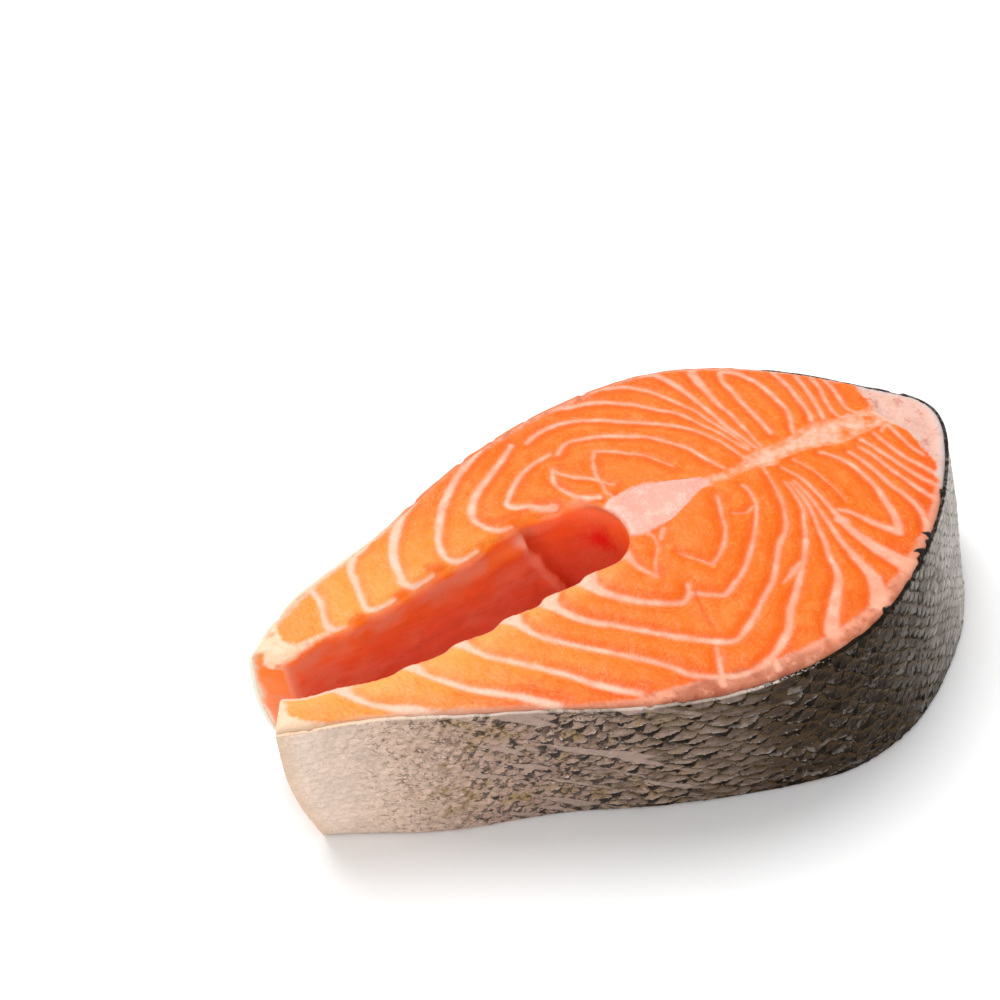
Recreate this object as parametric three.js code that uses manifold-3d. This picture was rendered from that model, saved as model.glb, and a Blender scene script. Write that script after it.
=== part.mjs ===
// Raw salmon steak: one cross-cut slice of the fish, lying flat on its lower cut face.
//
// Millimetres, +Z up. +X points to the back of the fish and -X to the tips of its two belly
// flaps. The near side is -Y. The slice is a thick horseshoe of flesh round the belly cavity,
// with a thin skin round the outside and one vertebra at the closed end of the cavity.
// The knife went through the fish askew, so every upright wall leans the same way.

import * as THREE from 'three';
import { mergeVertices } from 'three/addons/utils/BufferGeometryUtils.js';
import Module from 'manifold-3d';

// ---- Driving dimensions ----
const THICKNESS = 34.7; // height of the slice at its skin
const CROWN = 4; // the upper cut face bulges this much above that
const CROWN_AT = [25, 3];
const CROWN_REACH = [55, 28];

const LEAN = 7; // the lower face lies this far towards the back of the upper one
const BELLY_FLARE = { rise: 3.8, at: -59, reach: 17, power: 2 }; // the lower face is wider here
const BACK_FLARE = { rise: 5.8, at: 42, reach: 36, power: 4 };
const SIDE_SWELL = 0.4; // the skin swells outwards between the two cuts
const TIP_SWELL = { rise: 1.8, at: -78, reach: 8, power: 2 }; // and so do the flaps' ends

const SKIN = 1.2;
const GAP = 0.3; // clearance between neighbouring solids
const SKIN_FOOT = 0.6; // the skin stops this far above the surface it lies on
const SKIN_BROW = 0.4; // and this far below the rim of the flesh

const EDGE = 1.4; // width of the rounded rim of the cut face
const EDGE_DROP = 0.6;
const FLAKE_PITCH = 10.4; // spacing of the flakes that end at the cavity
const FLAKE_AT = -52.3;
const FLAKE_DEPTH = 0.6;

const BONE_AT = [9.9, 4.4];
const BONE_REACH = { belly: 7, back: 12, side: 5.8 };
const BONE_TAPER = 0.6; // how much the vertebra narrows towards the back

// Middle of the finished slice in the drawing's own coordinates: it becomes the origin.
const MIDDLE = [4.1, 0.1];

// Outline of the upper cut face, from the near flap's tip round the back to the far one.
const skinLine = spline([
  [-80.5, -7.8],
  [-62, -14.8],
  [-41, -25.4],
  [-19, -37],
  [4, -43.8],
  [30, -42],
  [53, -30.8],
  [72.5, -13.6],
  [80.2, 0.8],
  [71.5, 13.6],
  [56.5, 29.6],
  [36, 41.6],
  [9, 43.5],
  [-17, 38],
  [-41, 28.2],
  [-62, 21.4],
  [-76.6, 12.6],
]);

// Rim of the belly cavity, with one point for each point of the skin line.
const cavityLine = spline([
  [-76, -0.2],
  [-60, -5.3],
  [-41, -6.3],
  [-21, -5.5],
  [-3.6, -4.6],
  [0.2, -1.8],
  [1.2, 0.6],
  [1.5, 2.4],
  [1.6, 3.8],
  [1.5, 5],
  [1.2, 6.6],
  [0.4, 8.6],
  [-3, 12],
  [-18, 13.6],
  [-40, 10.4],
  [-58, 8.8],
  [-72, 7.2],
]);

// ---- How finely the surfaces are divided ----
const STEPS_ROUND = 160;
const STEPS_ACROSS = 6;
const STEPS_UP = 3;
const BONE_SIDES = 36;

// ---- The shape of the fish ----
function spline(points) {
  return new THREE.SplineCurve(points.map(([x, y]) => new THREE.Vector2(x, y)));
}

function bump(x, { rise, at, reach, power }) {
  return rise * Math.exp(-(((x - at) / reach) ** power));
}

function crownHeight(x, y) {
  const alongX = (x - CROWN_AT[0]) / CROWN_REACH[0];
  const alongY = (y - CROWN_AT[1]) / CROWN_REACH[1];
  return THICKNESS + CROWN * Math.exp(-(alongX ** 2) - alongY ** 2);
}

// Unit vector pointing out of the fish where the skin line is at t.
function outward(t) {
  const along = skinLine.getTangent(t);
  return new THREE.Vector2(along.y, -along.x);
}

// Plan position a given depth inside the skin's outer face.
function underSkin(t, depth) {
  return skinLine.getPoint(t).addScaledVector(outward(t), -depth);
}

// Plan position on the cavity's rim, scalloped where the flakes end.
function cavityRim(t) {
  const rim = cavityLine.getPoint(t);
  const inward = underSkin(t, 0).sub(rim).normalize();
  const scallop = FLAKE_DEPTH * Math.cos((2 * Math.PI * (rim.x - FLAKE_AT)) / FLAKE_PITCH);
  return rim.addScaledVector(inward, -scallop);
}

// Moves a plan position to where the wall through it stands at a height, 0 low to 1 high.
// Near the skin the wall also flares outwards lower down and swells halfway.
function onWall(plan, t, rise, nearSkin) {
  const flare = (1 - rise) * (bump(plan.x, BELLY_FLARE) + bump(plan.x, BACK_FLARE));
  const halfway = Math.sin(Math.PI * rise);
  const out = nearSkin * (flare + SIDE_SWELL * halfway);
  const place = plan.clone().addScaledVector(outward(t), out);
  place.x += LEAN * (1 - rise) - bump(plan.x, TIP_SWELL) * halfway;
  return place;
}

// ---- Solids ----
// A unit box bent into shape: bend(round, across, up) gives the new place of each corner,
// with all three running from 0 to 1.
function bentBox(steps, bend) {
  const box = new THREE.BoxGeometry(1, 1, 1, ...steps);
  box.deleteAttribute('normal');
  box.deleteAttribute('uv');
  const geometry = mergeVertices(box);
  const position = geometry.getAttribute('position');
  for (let i = 0; i < position.count; i += 1) {
    const corner = bend(position.getX(i) + 0.5, position.getY(i) + 0.5, position.getZ(i) + 0.5);
    position.setXYZ(i, corner.x, corner.y, corner.z);
  }
  return geometry;
}

// Keeps the first and last step across the flesh as wide as its rounded rim.
function acrossFraction(across, width) {
  const step = 1 / STEPS_ACROSS;
  const rim = EDGE / width;
  if (across < step * 1.01) return (across / step) * rim;
  if (across > 1 - step * 1.01) return 1 - ((1 - across) / step) * rim;
  return rim + ((across - step) / (1 - 2 * step)) * (1 - 2 * rim);
}

function fleshGeometry() {
  return bentBox([STEPS_ROUND, STEPS_ACROSS, STEPS_UP], (round, across, up) => {
    const outer = underSkin(round, SKIN + GAP);
    const inner = cavityRim(round);
    const fraction = acrossFraction(across, outer.distanceTo(inner));
    const plan = outer.clone().lerp(inner, fraction);
    const place = onWall(plan, round, up, 1 - fraction);
    const onRim = across < 0.01 || across > 0.99;
    const drop = onRim ? EDGE_DROP : 0;
    return new THREE.Vector3(place.x, place.y, up * (crownHeight(plan.x, plan.y) - drop));
  });
}

function skinGeometry() {
  return bentBox([STEPS_ROUND, 1, STEPS_UP], (round, across, up) => {
    const plan = underSkin(round, across * SKIN);
    const rim = crownHeight(plan.x, plan.y) - EDGE_DROP - SKIN_BROW;
    const z = THREE.MathUtils.lerp(SKIN_FOOT, rim, up);
    const place = onWall(plan, round, z / rim, 1);
    return new THREE.Vector3(place.x, place.y, z);
  });
}

// The vertebra is an upright egg-shaped column that narrows towards the back.
// grow widens it all round, and it stands from z = foot to its top, raised by extra.
function boneGeometry(grow, foot, extra) {
  const column = new THREE.CylinderGeometry(1, 1, 1, BONE_SIDES, STEPS_UP);
  column.rotateX(Math.PI / 2);
  column.deleteAttribute('normal');
  column.deleteAttribute('uv');
  const geometry = mergeVertices(column);
  const position = geometry.getAttribute('position');
  for (let i = 0; i < position.count; i += 1) {
    const [cos, sin] = [position.getX(i), position.getY(i)];
    const reach = (cos > 0 ? BONE_REACH.back : BONE_REACH.belly) + grow;
    const side = BONE_REACH.side * (1 - BONE_TAPER * Math.max(0, cos)) + grow;
    const x = BONE_AT[0] + reach * cos;
    const y = BONE_AT[1] + side * sin;
    const top = crownHeight(x, y) + extra;
    const z = THREE.MathUtils.lerp(foot, top, position.getZ(i) + 0.5);
    position.setXYZ(i, x + LEAN * (1 - z / crownHeight(x, y)), y, z);
  }
  return geometry;
}

// ---- Boolean cut ----
const wasm = await Module();
wasm.setup();

function toSolid(geometry) {
  const vertProperties = new Float32Array(geometry.getAttribute('position').array);
  const triVerts = new Uint32Array(geometry.getIndex().array);
  return new wasm.Manifold(new wasm.Mesh({ numProp: 3, vertProperties, triVerts }));
}

function toGeometry(solid) {
  const { vertProperties, triVerts } = solid.getMesh();
  const geometry = new THREE.BufferGeometry();
  geometry.setAttribute('position', new THREE.BufferAttribute(vertProperties, 3));
  geometry.setIndex(new THREE.BufferAttribute(triVerts, 1));
  return geometry;
}

function drilledFlesh() {
  const pastFace = 2;
  const hole = boneGeometry(GAP, -pastFace, pastFace);
  return toGeometry(toSolid(fleshGeometry()).subtract(toSolid(hole)));
}

// ---- The slice ----
const steak = new THREE.Group();
steak.position.set(-MIDDLE[0], -MIDDLE[1], 0);

function addPiece(name, geometry, color, roughness) {
  geometry.computeVertexNormals();
  const material = new THREE.MeshStandardMaterial({ color, roughness, metalness: 0 });
  const mesh = new THREE.Mesh(geometry, material);
  mesh.name = name;
  steak.add(mesh);
}

addPiece('flesh', drilledFlesh(), 0xf6803f, 0.35);
addPiece('skin', skinGeometry(), 0x77756c, 0.4);
addPiece('backbone', boneGeometry(0, GAP, -GAP), 0xf2c6b6, 0.45);

export default steak;
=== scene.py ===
"""Looks of a raw salmon steak: flesh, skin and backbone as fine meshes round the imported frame.

The shapes are drawn in plan, in millimetres, on the steak's upper cut face, and then carried
down through the slice the way the knife went. +X points to the back of the fish, -X to the
tips of its belly flaps, and the near side is -Y. Blender gets everything in metres.
"""

import itertools
import math
from functools import partial, partialmethod

import bpy
import numpy as np
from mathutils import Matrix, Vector
from mathutils.geometry import delaunay_2d_cdt


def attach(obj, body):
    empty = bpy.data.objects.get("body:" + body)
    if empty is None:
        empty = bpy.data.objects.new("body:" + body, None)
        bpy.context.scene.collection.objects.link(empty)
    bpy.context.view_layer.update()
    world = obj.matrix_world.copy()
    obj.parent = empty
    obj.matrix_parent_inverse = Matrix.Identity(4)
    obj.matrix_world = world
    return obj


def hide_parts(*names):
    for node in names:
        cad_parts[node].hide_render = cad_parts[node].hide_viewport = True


MM = 0.001

# ---- The slice, as the CAD has it (mm) ----
MIDDLE = np.array([4.1, 0.1])  # middle of the finished slice in the drawing's coordinates
THICKNESS = 34.7
CROWN = 4.0
CROWN_AT = (25.0, 3.0)
CROWN_REACH = (55.0, 28.0)
LEAN = 7.0  # the lower face lies this far towards the back of the upper one
BELLY_FLARE = (3.8, -59.0, 17.0, 2)  # rise, at, reach, power
BACK_FLARE = (5.8, 42.0, 36.0, 4)
TIP_SWELL = (1.8, -78.0, 8.0, 2)
SIDE_SWELL = 0.4
EDGE = 1.4  # width of the rounded rim of the cut face
EDGE_DROP = 0.6
NEAR_RIM = (1.8, 0.9)  # width and drop of its softer rim at the near side of the belly gap
FAR_RIM = (3.6, 2.1)  # and at the far side

SKIN_LINE = [
    (-80.5, -7.8), (-62, -14.8), (-41, -25.4), (-19, -37), (4, -43.8), (30, -42), (53, -30.8),
    (72.5, -13.6), (80.2, 0.8), (71.5, 13.6), (56.5, 29.6), (36, 41.6), (9, 43.5), (-17, 38),
    (-41, 28.2), (-62, 21.4), (-76.6, 12.6),
]

# Rim of the belly cavity, from the near flap's tip round the closed end to the far tip.
CAVITY_RIM = [
    (-76, -0.2), (-73, -1.8), (-70, -2.6), (-66, -3.1), (-63, -4.1), (-60, -5.1), (-56, -5.8),
    (-52.6, -5.4), (-49, -6.1), (-45, -6.3), (-42, -5.4), (-38, -6), (-34.5, -6.3), (-31, -5.1),
    (-27, -5.6), (-23.6, -5.7), (-21.6, -4.7), (-17, -5.1), (-14, -5.1), (-11.8, -4.3), (-6, -4.8),
    (-3, -4), (-0.4, -2.2), (1, 0.4), (1.5, 2.4), (1.6, 3.8), (1.5, 5), (1.2, 6.6), (0.6, 8.4),
    (-0.6, 10.6), (-2.6, 12.2), (-5.4, 13.2), (-8.6, 13.5), (-12, 13.9), (-15, 14.4), (-18, 13.6),
    (-22, 13.2), (-26, 12), (-30, 11.3), (-34, 11), (-41, 10.2), (-46, 9.4), (-52, 9.4),
    (-57, 8.6), (-61.5, 9), (-66, 8.2), (-68.6, 7.4), (-71, 6.8), (-72.6, 7.6), (-74.4, 9.2),
    (-76, 10.8),
]

BONE_AT = (9.9, 4.4)
BONE_REACH_BELLY = 7.0
BONE_REACH_BACK = 12.0
BONE_REACH_SIDE = 5.8
BONE_TAPER = 0.6

# ---- How the visible pieces meet (mm) ----
SKIN_THICK = 0.95
FLESH_INSIDE = 0.8  # the flesh begins this far inside the skin's outer face
SKIN_FOOT = 0.5  # the skin stops this far above the surface it lies on
SKIN_BROW = 0.12  # and this far below the rim of the flesh
BONE_FOOT = 0.03  # the vertebra's foot is this far above the lower cut face

# ---- Fat lines between the flakes (mm) ----
# Each is the line's widths at even steps along it, then points from the skin's side or the
# rim's side along its middle.
SEAMS = [
    # Far side, from the flap's tip to the back.
    ((1.6, 1.3, 1.5, 1.7, 0.5), [(-59.5, 22), (-59, 18), (-60, 14), (-60.6, 11.2), (-59.8, 9.8),
      (-57.4, 9.4)]),
    ((1.9, 1.8, 1.3, 1.6, 0.5), [(-45, 26), (-48, 24.5), (-50.2, 21.6), (-50.9, 18.2), (-51.8, 14),
      (-52.2, 11.6), (-51, 10.3), (-48.8, 10.1), (-46.4, 10.5)]),
    ((1.6, 2.2, 2.1, 1.7, 0.5), [(-31, 32), (-35, 29), (-39, 24.5), (-41.5, 20), (-42.6, 15.6),
      (-43.2, 13), (-42, 11.5), (-39.6, 11.3), (-37, 11.9)]),
    ((1.4, 1.8, 2, 1.6, 0.5), [(-11, 38.5), (-18, 34.7), (-25.3, 28.5), (-30.5, 21.5),
      (-32.4, 17.5), (-32.9, 14.4), (-31.6, 12.7), (-29.2, 12.3), (-26.6, 12.9)]),
    ((1.3, 1.7, 2, 1.7, 0.6), [(-4.5, 36.6), (-11, 31.7), (-18, 27.4), (-21.6, 23.6),
      (-22.7, 20.6), (-22, 17.4), (-20.4, 15.4), (-17.4, 14.8)]),
    ((1, 1.3, 1.4, 1.9), [(0.5, 29.3), (-4, 28.5), (-7.5, 27), (-11, 24.6), (-14, 22), (-15, 20.2),
      (-13.8, 18.6), (-11.4, 17.6), (-9.8, 15.8), (-7.4, 14.8)]),
    ((0.8, 1, 1.8), [(-1.7, 24.6), (-3.5, 21), (-3.4, 18), (-2.4, 15.4), (-0.2, 13), (1.6, 12)]),
    ((0.7, 0.6), [(-1.7, 24.6), (-1, 22.4), (1.1, 19.6), (3.6, 17.4), (4.4, 15.3), (3.6, 12.8),
      (4, 10.6)]),
    ((0.7, 0.7, 0.5), [(9, 24.9), (7.2, 22.8), (5.8, 20.3), (4.7, 17.8), (4.7, 15.6), (6.1, 13.5)]),
    ((0.8, 0.6, 0.2), [(9, 24.9), (11.9, 22.8), (14, 20.3), (16.5, 17.8), (17.9, 14.9),
      (19.5, 11.5)]),
    ((1.2, 1.1, 0.6), [(2, 28.3), (4.7, 30.3), (7, 30.6), (10.1, 29.6), (14, 27.7), (19.7, 23.5),
      (23.1, 18.7), (25.4, 14.6), (26.4, 10), (27.6, 5.1)]),
    ((1.3, 1.1, 0.5), [(-1, 35.5), (1, 36.6), (5, 37.3), (10, 36.6), (14, 34.6), (18.5, 31),
      (23.1, 26.9), (26.7, 23.3), (29.5, 20.1), (31.3, 16), (32.6, 11.5), (33.5, 5.5)]),
    ((1.4, 1, 0.5), [(9, 42.3), (13.3, 40.8), (16.7, 39.9), (20.4, 37.4), (24.5, 33.7),
      (27.6, 29.6), (30.8, 25.5), (33.5, 16.9), (34.5, 11.9), (35.8, 7.4)]),
    ((1.5, 1, 0.4), [(20, 43), (23.1, 41.7), (26.3, 40.1), (29, 37.4), (31.3, 33.3), (33.1, 28.7),
      (34.5, 24.6), (34.9, 20.5), (35.8, 14.2), (36.3, 8.3)]),
    ((2.2, 1.2, 0.5), [(33, 41.5), (34.5, 40.1), (35.8, 36.9), (36.7, 32.4), (37, 27.8),
      (37, 23.3), (36.7, 16.5), (37.2, 10.5), (37.6, 6.9)]),
    ((2.5, 1.2, 0.5), [(44, 38), (42, 36.5), (41.3, 33.3), (40.8, 28.7), (40.1, 23.3),
      (40.1, 18.7), (39.5, 14.2), (39, 9.6), (38.8, 7.2)]),
    ((1.1, 1.1, 1.6, 1.3, 1), [(43.3, 9.6), (43.5, 11.9), (44, 16.5), (44.7, 21.5), (45.4, 26),
      (45.8, 30.1), (47.4, 32.8), (49.9, 31), (51.3, 27.4), (51.7, 23.7), (51.5, 18.7), (51, 14.6),
      (49.5, 11), (47.9, 8.3), (47.2, 6.5)]),
    ((1.3, 1.2), [(57, 27), (56.7, 21.5), (55.8, 16.9), (54.9, 13.3), (54, 10.5), (53, 8.3)]),
    ((1.2, 1.1), [(60.5, 23), (59.5, 18.7), (58.3, 14.6), (57.2, 11.5), (55.8, 7.8)]),
    ((1.1, 1), [(62.8, 20.5), (62.2, 16.9), (60.8, 13.7), (59.5, 10.1), (59, 6.9), (59.5, 5.1)]),
    ((0.9, 0.9), [(64.9, 18.5), (64.5, 15.1), (63.5, 11.5), (62.6, 8.3), (63.5, 5.5), (65.4, 4.2),
      (67.6, 5.5), (68.5, 7.8)]),
    # Near side, from the flap's tip to the back.
    ((1.2, 1.6, 2.6), [(-66.3, -2.6), (-64.8, -6.5), (-62.5, -10.3), (-59.4, -13.4),
      (-56.3, -15.7), (-54.8, -18.4)]),
    ((1.3, 1.6, 2), [(-52.6, -5), (-50.5, -9.9), (-47.8, -13.8), (-45.2, -16.8), (-41.7, -20.2),
      (-38, -23.6), (-33.6, -28.2)]),
    ((1.3, 1.5, 1.8), [(-42, -4.8), (-39.4, -10.7), (-35.9, -14.8), (-30.6, -20.4), (-27.8, -23.3),
      (-25.3, -26.9), (-22.8, -29.7), (-20.6, -31.9), (-19, -33.5)]),
    ((2, 1.2, 1.3, 1.6), [(-30.6, -4.6), (-29.2, -10.1), (-27.8, -12.9), (-25.6, -15.8),
      (-22.8, -18.6), (-19.2, -21.9), (-16, -25.1), (-13.1, -27.9), (-10.6, -30.8), (-8.9, -33.6),
      (-7.4, -35.4)]),
    ((2.5, 1.2, 1.5, 1.2, 1, 0.5), [(-21.5, -4.8), (-21.7, -7.6), (-20.6, -10.4), (-18.9, -13.3),
      (-16, -16.1), (-12.8, -19), (-6.4, -25.1), (-0.3, -30.1), (3.3, -32.2), (6.1, -31.5),
      (10.1, -29.4), (14, -26.8), (19, -23.6), (24.5, -17.8), (29, -14.2), (32.2, -8.7),
      (34, -2.8), (34.8, 1)]),
    ((2.5, 1.6, 0.8), [(-12.8, -4.6), (-12.4, -8.3), (-11, -11.1), (-8.5, -14), (-6.4, -16.1),
      (-3.1, -18.3), (-0.3, -19.7), (1.9, -19), (3.3, -16.9)]),
    ((1, 1.1, 0.8, 0.5), [(2.6, -18.6), (4, -19.6), (6.5, -21.5), (8.3, -22.4), (10.4, -21.5),
      (14, -19.9), (16.9, -17.7), (19.9, -15.1), (22.6, -12.4), (25.4, -9.2), (27.2, -6.5),
      (28.1, -2.8), (27.9, -1)]),
    ((0.7, 0.7), [(10.1, -15.3), (13.3, -13.6), (15.4, -11.9), (17.9, -9), (19, -6.3),
      (20.8, -2.8), (21.5, -1)]),
    ((0.5, 0.1), [(10.1, -15.3), (8.6, -12.9), (6.9, -10.8), (6.2, -9.5)]),
    ((0.8, 0.8), [(-1, -12.2), (-2.4, -9), (-2.8, -6.9), (-2.5, -4)]),
    ((0.5, 0.5), [(-1, -12.2), (1.1, -9), (3.6, -6.1), (4.4, -3.6), (4, -2.2)]),
    ((0.8, 0.8), [(5.4, -4.6), (6.2, -3.7), (7.2, -2.8)]),
    ((0.4, 0.4), [(21.5, -6.4), (24, -7.5), (26, -6.8)]),
    ((0.6, 1, 1.8), [(-0.7, -32), (-1.8, -34.5), (-3.2, -37), (-4.5, -39.4)]),
    ((1.8, 1), [(6.4, -41.8), (6.9, -40.6), (7.5, -39.2)]),
    ((1.2, 2, 1.3, 0.4), [(-6.5, -35.9), (-3.5, -38), (0.1, -39.4), (4, -39.6), (7.9, -38.6),
      (11, -37), (14, -35.1), (16.7, -31.9), (19.9, -29.2), (25.4, -24.2), (29.9, -19.6),
      (33.5, -14.2), (34.9, -11.9), (35.8, -7.8), (36.3, -4.2)]),
    ((0.3, 1.8, 0.8), [(20, -25.3), (23, -24.2), (27, -22.4)]),
    ((3.4, 1.8, 0.9, 0.5), [(20.8, -39.6), (23.1, -36.9), (26.3, -33.7), (29.5, -30.5),
      (31.3, -27.8), (32.2, -24.2), (33.5, -21.5), (34.5, -17.8), (35.8, -14.2), (36.7, -10),
      (37.2, -5)]),
    ((4.2, 2, 0.9, 0.5), [(33.5, -38.3), (35.8, -34.6), (36.7, -31.5), (36.7, -23.3),
      (37.2, -18.7), (37.6, -14.2), (38.1, -9.6), (38.1, -5)]),
    ((4.4, 2.4, 1, 0.6), [(45.8, -35.5), (44, -32.4), (42.6, -28.7), (41.3, -25.1), (40.4, -21.5),
      (40.1, -17.8), (40.1, -9.6), (39.9, -5), (38.5, -0.5)]),
    ((0.5, 0.1), [(42.2, 0.4), (43.5, -4.2), (44.2, -9.6), (44, -14.2)]),
    ((0.9, 2.2), [(41.3, -15.5), (43.5, -17.8), (45.4, -21.5), (47.2, -24.2), (48.5, -26)]),
    ((2.2, 1.5, 0.9), [(48.5, -26), (50.4, -22.4), (51.3, -18.7), (52.2, -14.2), (52, -7.4),
      (51, -4.2), (49.5, -1.5), (48.5, -0.5)]),
    ((1, 1.7), [(54, -3.3), (54.9, -7.8), (55.4, -14.2), (56.3, -18.7), (56.3, -23.3),
      (54.9, -26.9), (54, -28.7)]),
    ((1, 1.5), [(56.7, -3.3), (57.6, -6.5), (58.5, -11.5), (59.5, -15.1), (60.4, -19.6),
      (61.3, -21.9)]),
    ((1, 1.5), [(58.5, -1.5), (59.5, -5.1), (60.8, -9.6), (62.2, -14.2), (63.5, -17.8),
      (64.5, -20.5)]),
    ((1, 1.4), [(62.2, -1.5), (62.6, -5.1), (63.5, -9.6), (64.9, -12.8), (66.3, -16.5)]),
    ((0.8, 0.8), [(64, -1.5), (66.3, -0.3), (66.7, -3.3), (66.7, -7.8), (67.6, -11)]),
    # Pale blotches where lines meet.
    ((2.4, 2.4), [(39.9, -17.6), (40.5, -18.6)]),
    ((2, 3.4, 2), [(-60, -17.4), (-57, -19), (-54, -20.4)]),
]

# ---- Regions of other tissue (mm) ----
VERTEBRA = [
    (0.6, 8.5), (3, 10), (8, 10.4), (12, 9.8), (15, 8), (18, 6.2), (22, 4.9), (22.4, 3), (20, 2.5),
    (16, 1), (13, 0), (10, -1), (6, -1.6), (3, -1.4), (1, 0),
]
SEPTUM = [
    (19, 5.3), (24, 4.4), (28, 4.2), (32, 5), (34, 6), (36, 6.2), (38, 7), (41, 6), (45, 6.6),
    (48, 6.8), (52, 7.6), (56, 7), (60, 6.4), (66, 6), (71, 7), (71, -2), (68, -0.5), (62, 0),
    (57, -0.3), (53, 0), (50, 1), (46, 1.5), (40, 1.8), (38, 0.8), (34, 1.8), (30, 2.2), (24, 2.2),
    (19, 2.6),
]
BACK_PAD = [
    (66, 20), (68.5, 17), (69.3, 13.5), (68.5, 10), (69, 8), (67.5, 5), (67.6, 2), (68.1, -0.5),
    (69.2, -5), (69, -9.2), (68.5, -12.8), (67.2, -15.5), (65, -20), (72, -20), (84, -8), (84, 8),
    (74, 20),
]
ROSE_PATCH = [
    (-15, -36.5), (-8, -36), (-3, -37.2), (1, -38), (5, -39.6), (12, -40.6), (16, -42.6),
    (10, -46), (-6, -45), (-18, -40),
]
FAR_TIP_CREAM = [
    (-84, 16), (-76, 24), (-64, 24), (-64.5, 21.2), (-66.8, 19.4), (-68.8, 16.4), (-69.5, 12.8),
    (-68.8, 10.4), (-66.4, 9.9), (-63.6, 10.3), (-61, 9.8), (-61, 6), (-66, 4), (-84, 3),
]
NEAR_TIP_CREAM = [
    (-86, -12), (-86, 2), (-76.4, 2), (-75.7, -1.5), (-76.3, -4.5), (-75.8, -6.8), (-74.4, -8.3),
    (-72, -9.6), (-69.3, -11.4), (-66, -13.4), (-70, -18),
]
TIP_SPOTS = [((-75.2, 10.9), 0.9), ((-71, 14.6), 0.8)]  # orange specks in the far tip's cream
TORN_SKIN = [
    [(66.2, -20), (63.9, -20.4), (62.8, -22), (62.2, -24.6), (66, -24)],
    [(59.4, -27), (57, -27), (56, -28), (56.3, -29.8), (59, -30)],
    [(55.6, -29), (52.3, -28.2), (53.2, -29.6), (51.6, -30.2), (52.4, -33), (56, -32)],
    [(51.2, -31.4), (47.4, -31.1), (48.8, -32.3), (47.2, -32.9), (48.6, -35.4), (52, -34.6)],
    [(36.6, -40), (33, -39.6), (33.2, -42.6), (36.6, -42)],
]  # black teeth of skin on the rim of the flesh
FOLD_SHADES = [
    (0.9, [(-20.8, 18.2), (-18.5, 17), (-15, 17.3)]), (0.9, [(-9, 17.4), (-6, 15.8)]),
    (0.7, [(-37, 13.4), (-34.8, 12.6)]), (0.9, [(-45.6, 10.8), (-43.4, 11)]),
    (1.1, [(-55.4, 9.4), (-53.6, 9.6)]),
]  # deeper orange where flakes fold over at the gap's far rim, painted shade under the folds: half width, points
CRACKS = [[(3.6, -19), (2.6, -22.1), (1.8, -25.5), (1.6, -28.4)]]  # cracks in a flake, darkened with painted shade
SEPTUM_ISLANDS = [((57, 2), 0.8), ((64, 3.4), 1)]  # centre, reach

HEART = np.array([9.0, 1.0])  # the fat lines circle this place

# Width of the pale band under the near and far skin, by place along the fish's x.
NEAR_BAND = [
    (-82, 1.2), (-76, 0.7), (-72, 0.3), (-62, 0.3), (-56, 0.9), (-45, 0.5), (-30, 0.5), (-20, 1.5),
    (-10, 3.4), (4, 3.4), (14, 3.2), (20, 3.2), (33, 2.8), (42, 2.4), (52, 1.6), (62, 1.4),
    (82, 1.2),
]
FAR_BAND = [
    (-82, 1.4), (-62, 1), (-40, 0.5), (-20, 0.5), (-10, 1.2), (7, 1.5), (20, 1.2), (44, 1),
    (60, 0.9), (82, 1),
]

LOBE_EDGE = -16.4  # a lobe of the gap's far wall ends at this x, at the rim
RED_SPOT = (-0.6, 10.6, 10)  # x, y and depth of a bloody spot in the gap's closed end

# ---- How finely things are divided (mm, or a count) ----
OUTLINE_PITCH = 0.5  # of the skin line that distances are measured from
CAVITY_PITCH = 0.4  # and of the cavity's rim
TOP_PITCH = 0.46  # of the points on the upper cut face
FOOT_PITCH = 1.0  # and on the lower one
LOOP_PITCH = 0.25  # of the flesh's outline, which is then thinned out to the next two
SKIN_SIDE_PITCH = 0.62
RIM_PITCH = 0.42
SKIN_PITCH = 0.42
EGG_PITCH = 0.5
EGG_CORNERS = 90
OUTLINE_CORNERS = 1601
CAVITY_CORNERS = 900
CRACK_CORNERS = 30
SEAM_CORNERS = 6  # for each point of a fat line
REGION_CORNERS = 10  # for each point of its outline
WALL_ROWS = 26
BONE_ROWS = 12
INNER_ROWS = 8  # down the skin's inner face
FINER_ABOVE = 1.25  # power by which a wall's rows get closer towards the top
CLEAR = 0.55  # a face's own points stay this share of a pitch away from its edge
PAIRS_AT_ONCE = 2_000_000  # how many distances are worked out together
TOUCHING = 0.01

# ---- Relief (mm) ----
# Rough layers are each a height, a pitch (or one for each direction) and a seed.
MIDLINE = 4.0  # y between the near and the far half of the fish
REACH = 8.0  # a fat line is felt this far away
THIN_GAIN = 0.25  # the thinnest fat lines are drawn this much wider
RIM_GAIN = (1.3, 0.2)  # share by which near and far lines widen at the gap's rim
RIM_GAIN_REACH = 2.4
GRAIN_APART = 31.7  # between the grains of two fat lines, so that they aren't alike
CORNER_WINDOW = 7  # points over which the outline's corners are rounded
HOLE_GROW = 0.1  # the hole in the flesh is this much wider than the CAD's vertebra
BONE_GROW = 0.4  # and the vertebra's mesh this much, so that they meet
BONE_SUNK = 0.04  # the vertebra's top lies this far below the cut face
PILLOW = 0.3  # rise of a flake's face over its edge
PILLOW_REACH = 1.6
FAT_SUNK = 0.12
PAD_SUNK = 0.5
SEPTUM_SUNK = 0.35
HOLLOW = 0.45  # dip in the middle of the vertebra
HOLLOW_AT = (8.5, 4.6)
HOLLOW_REACH = (7, 4.6)
FACE_WAVES = [(0.35, 13, 11), (0.14, 4.1, 12), (0.05, 1.5, 13)]
WALL_FOLDS = [(0.35, (14, 11), 21), (0.22, (11, 2.2), 22), (0.07, (2.6, 0.9), 23)]
LOBE_RISE = 1.7
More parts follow.
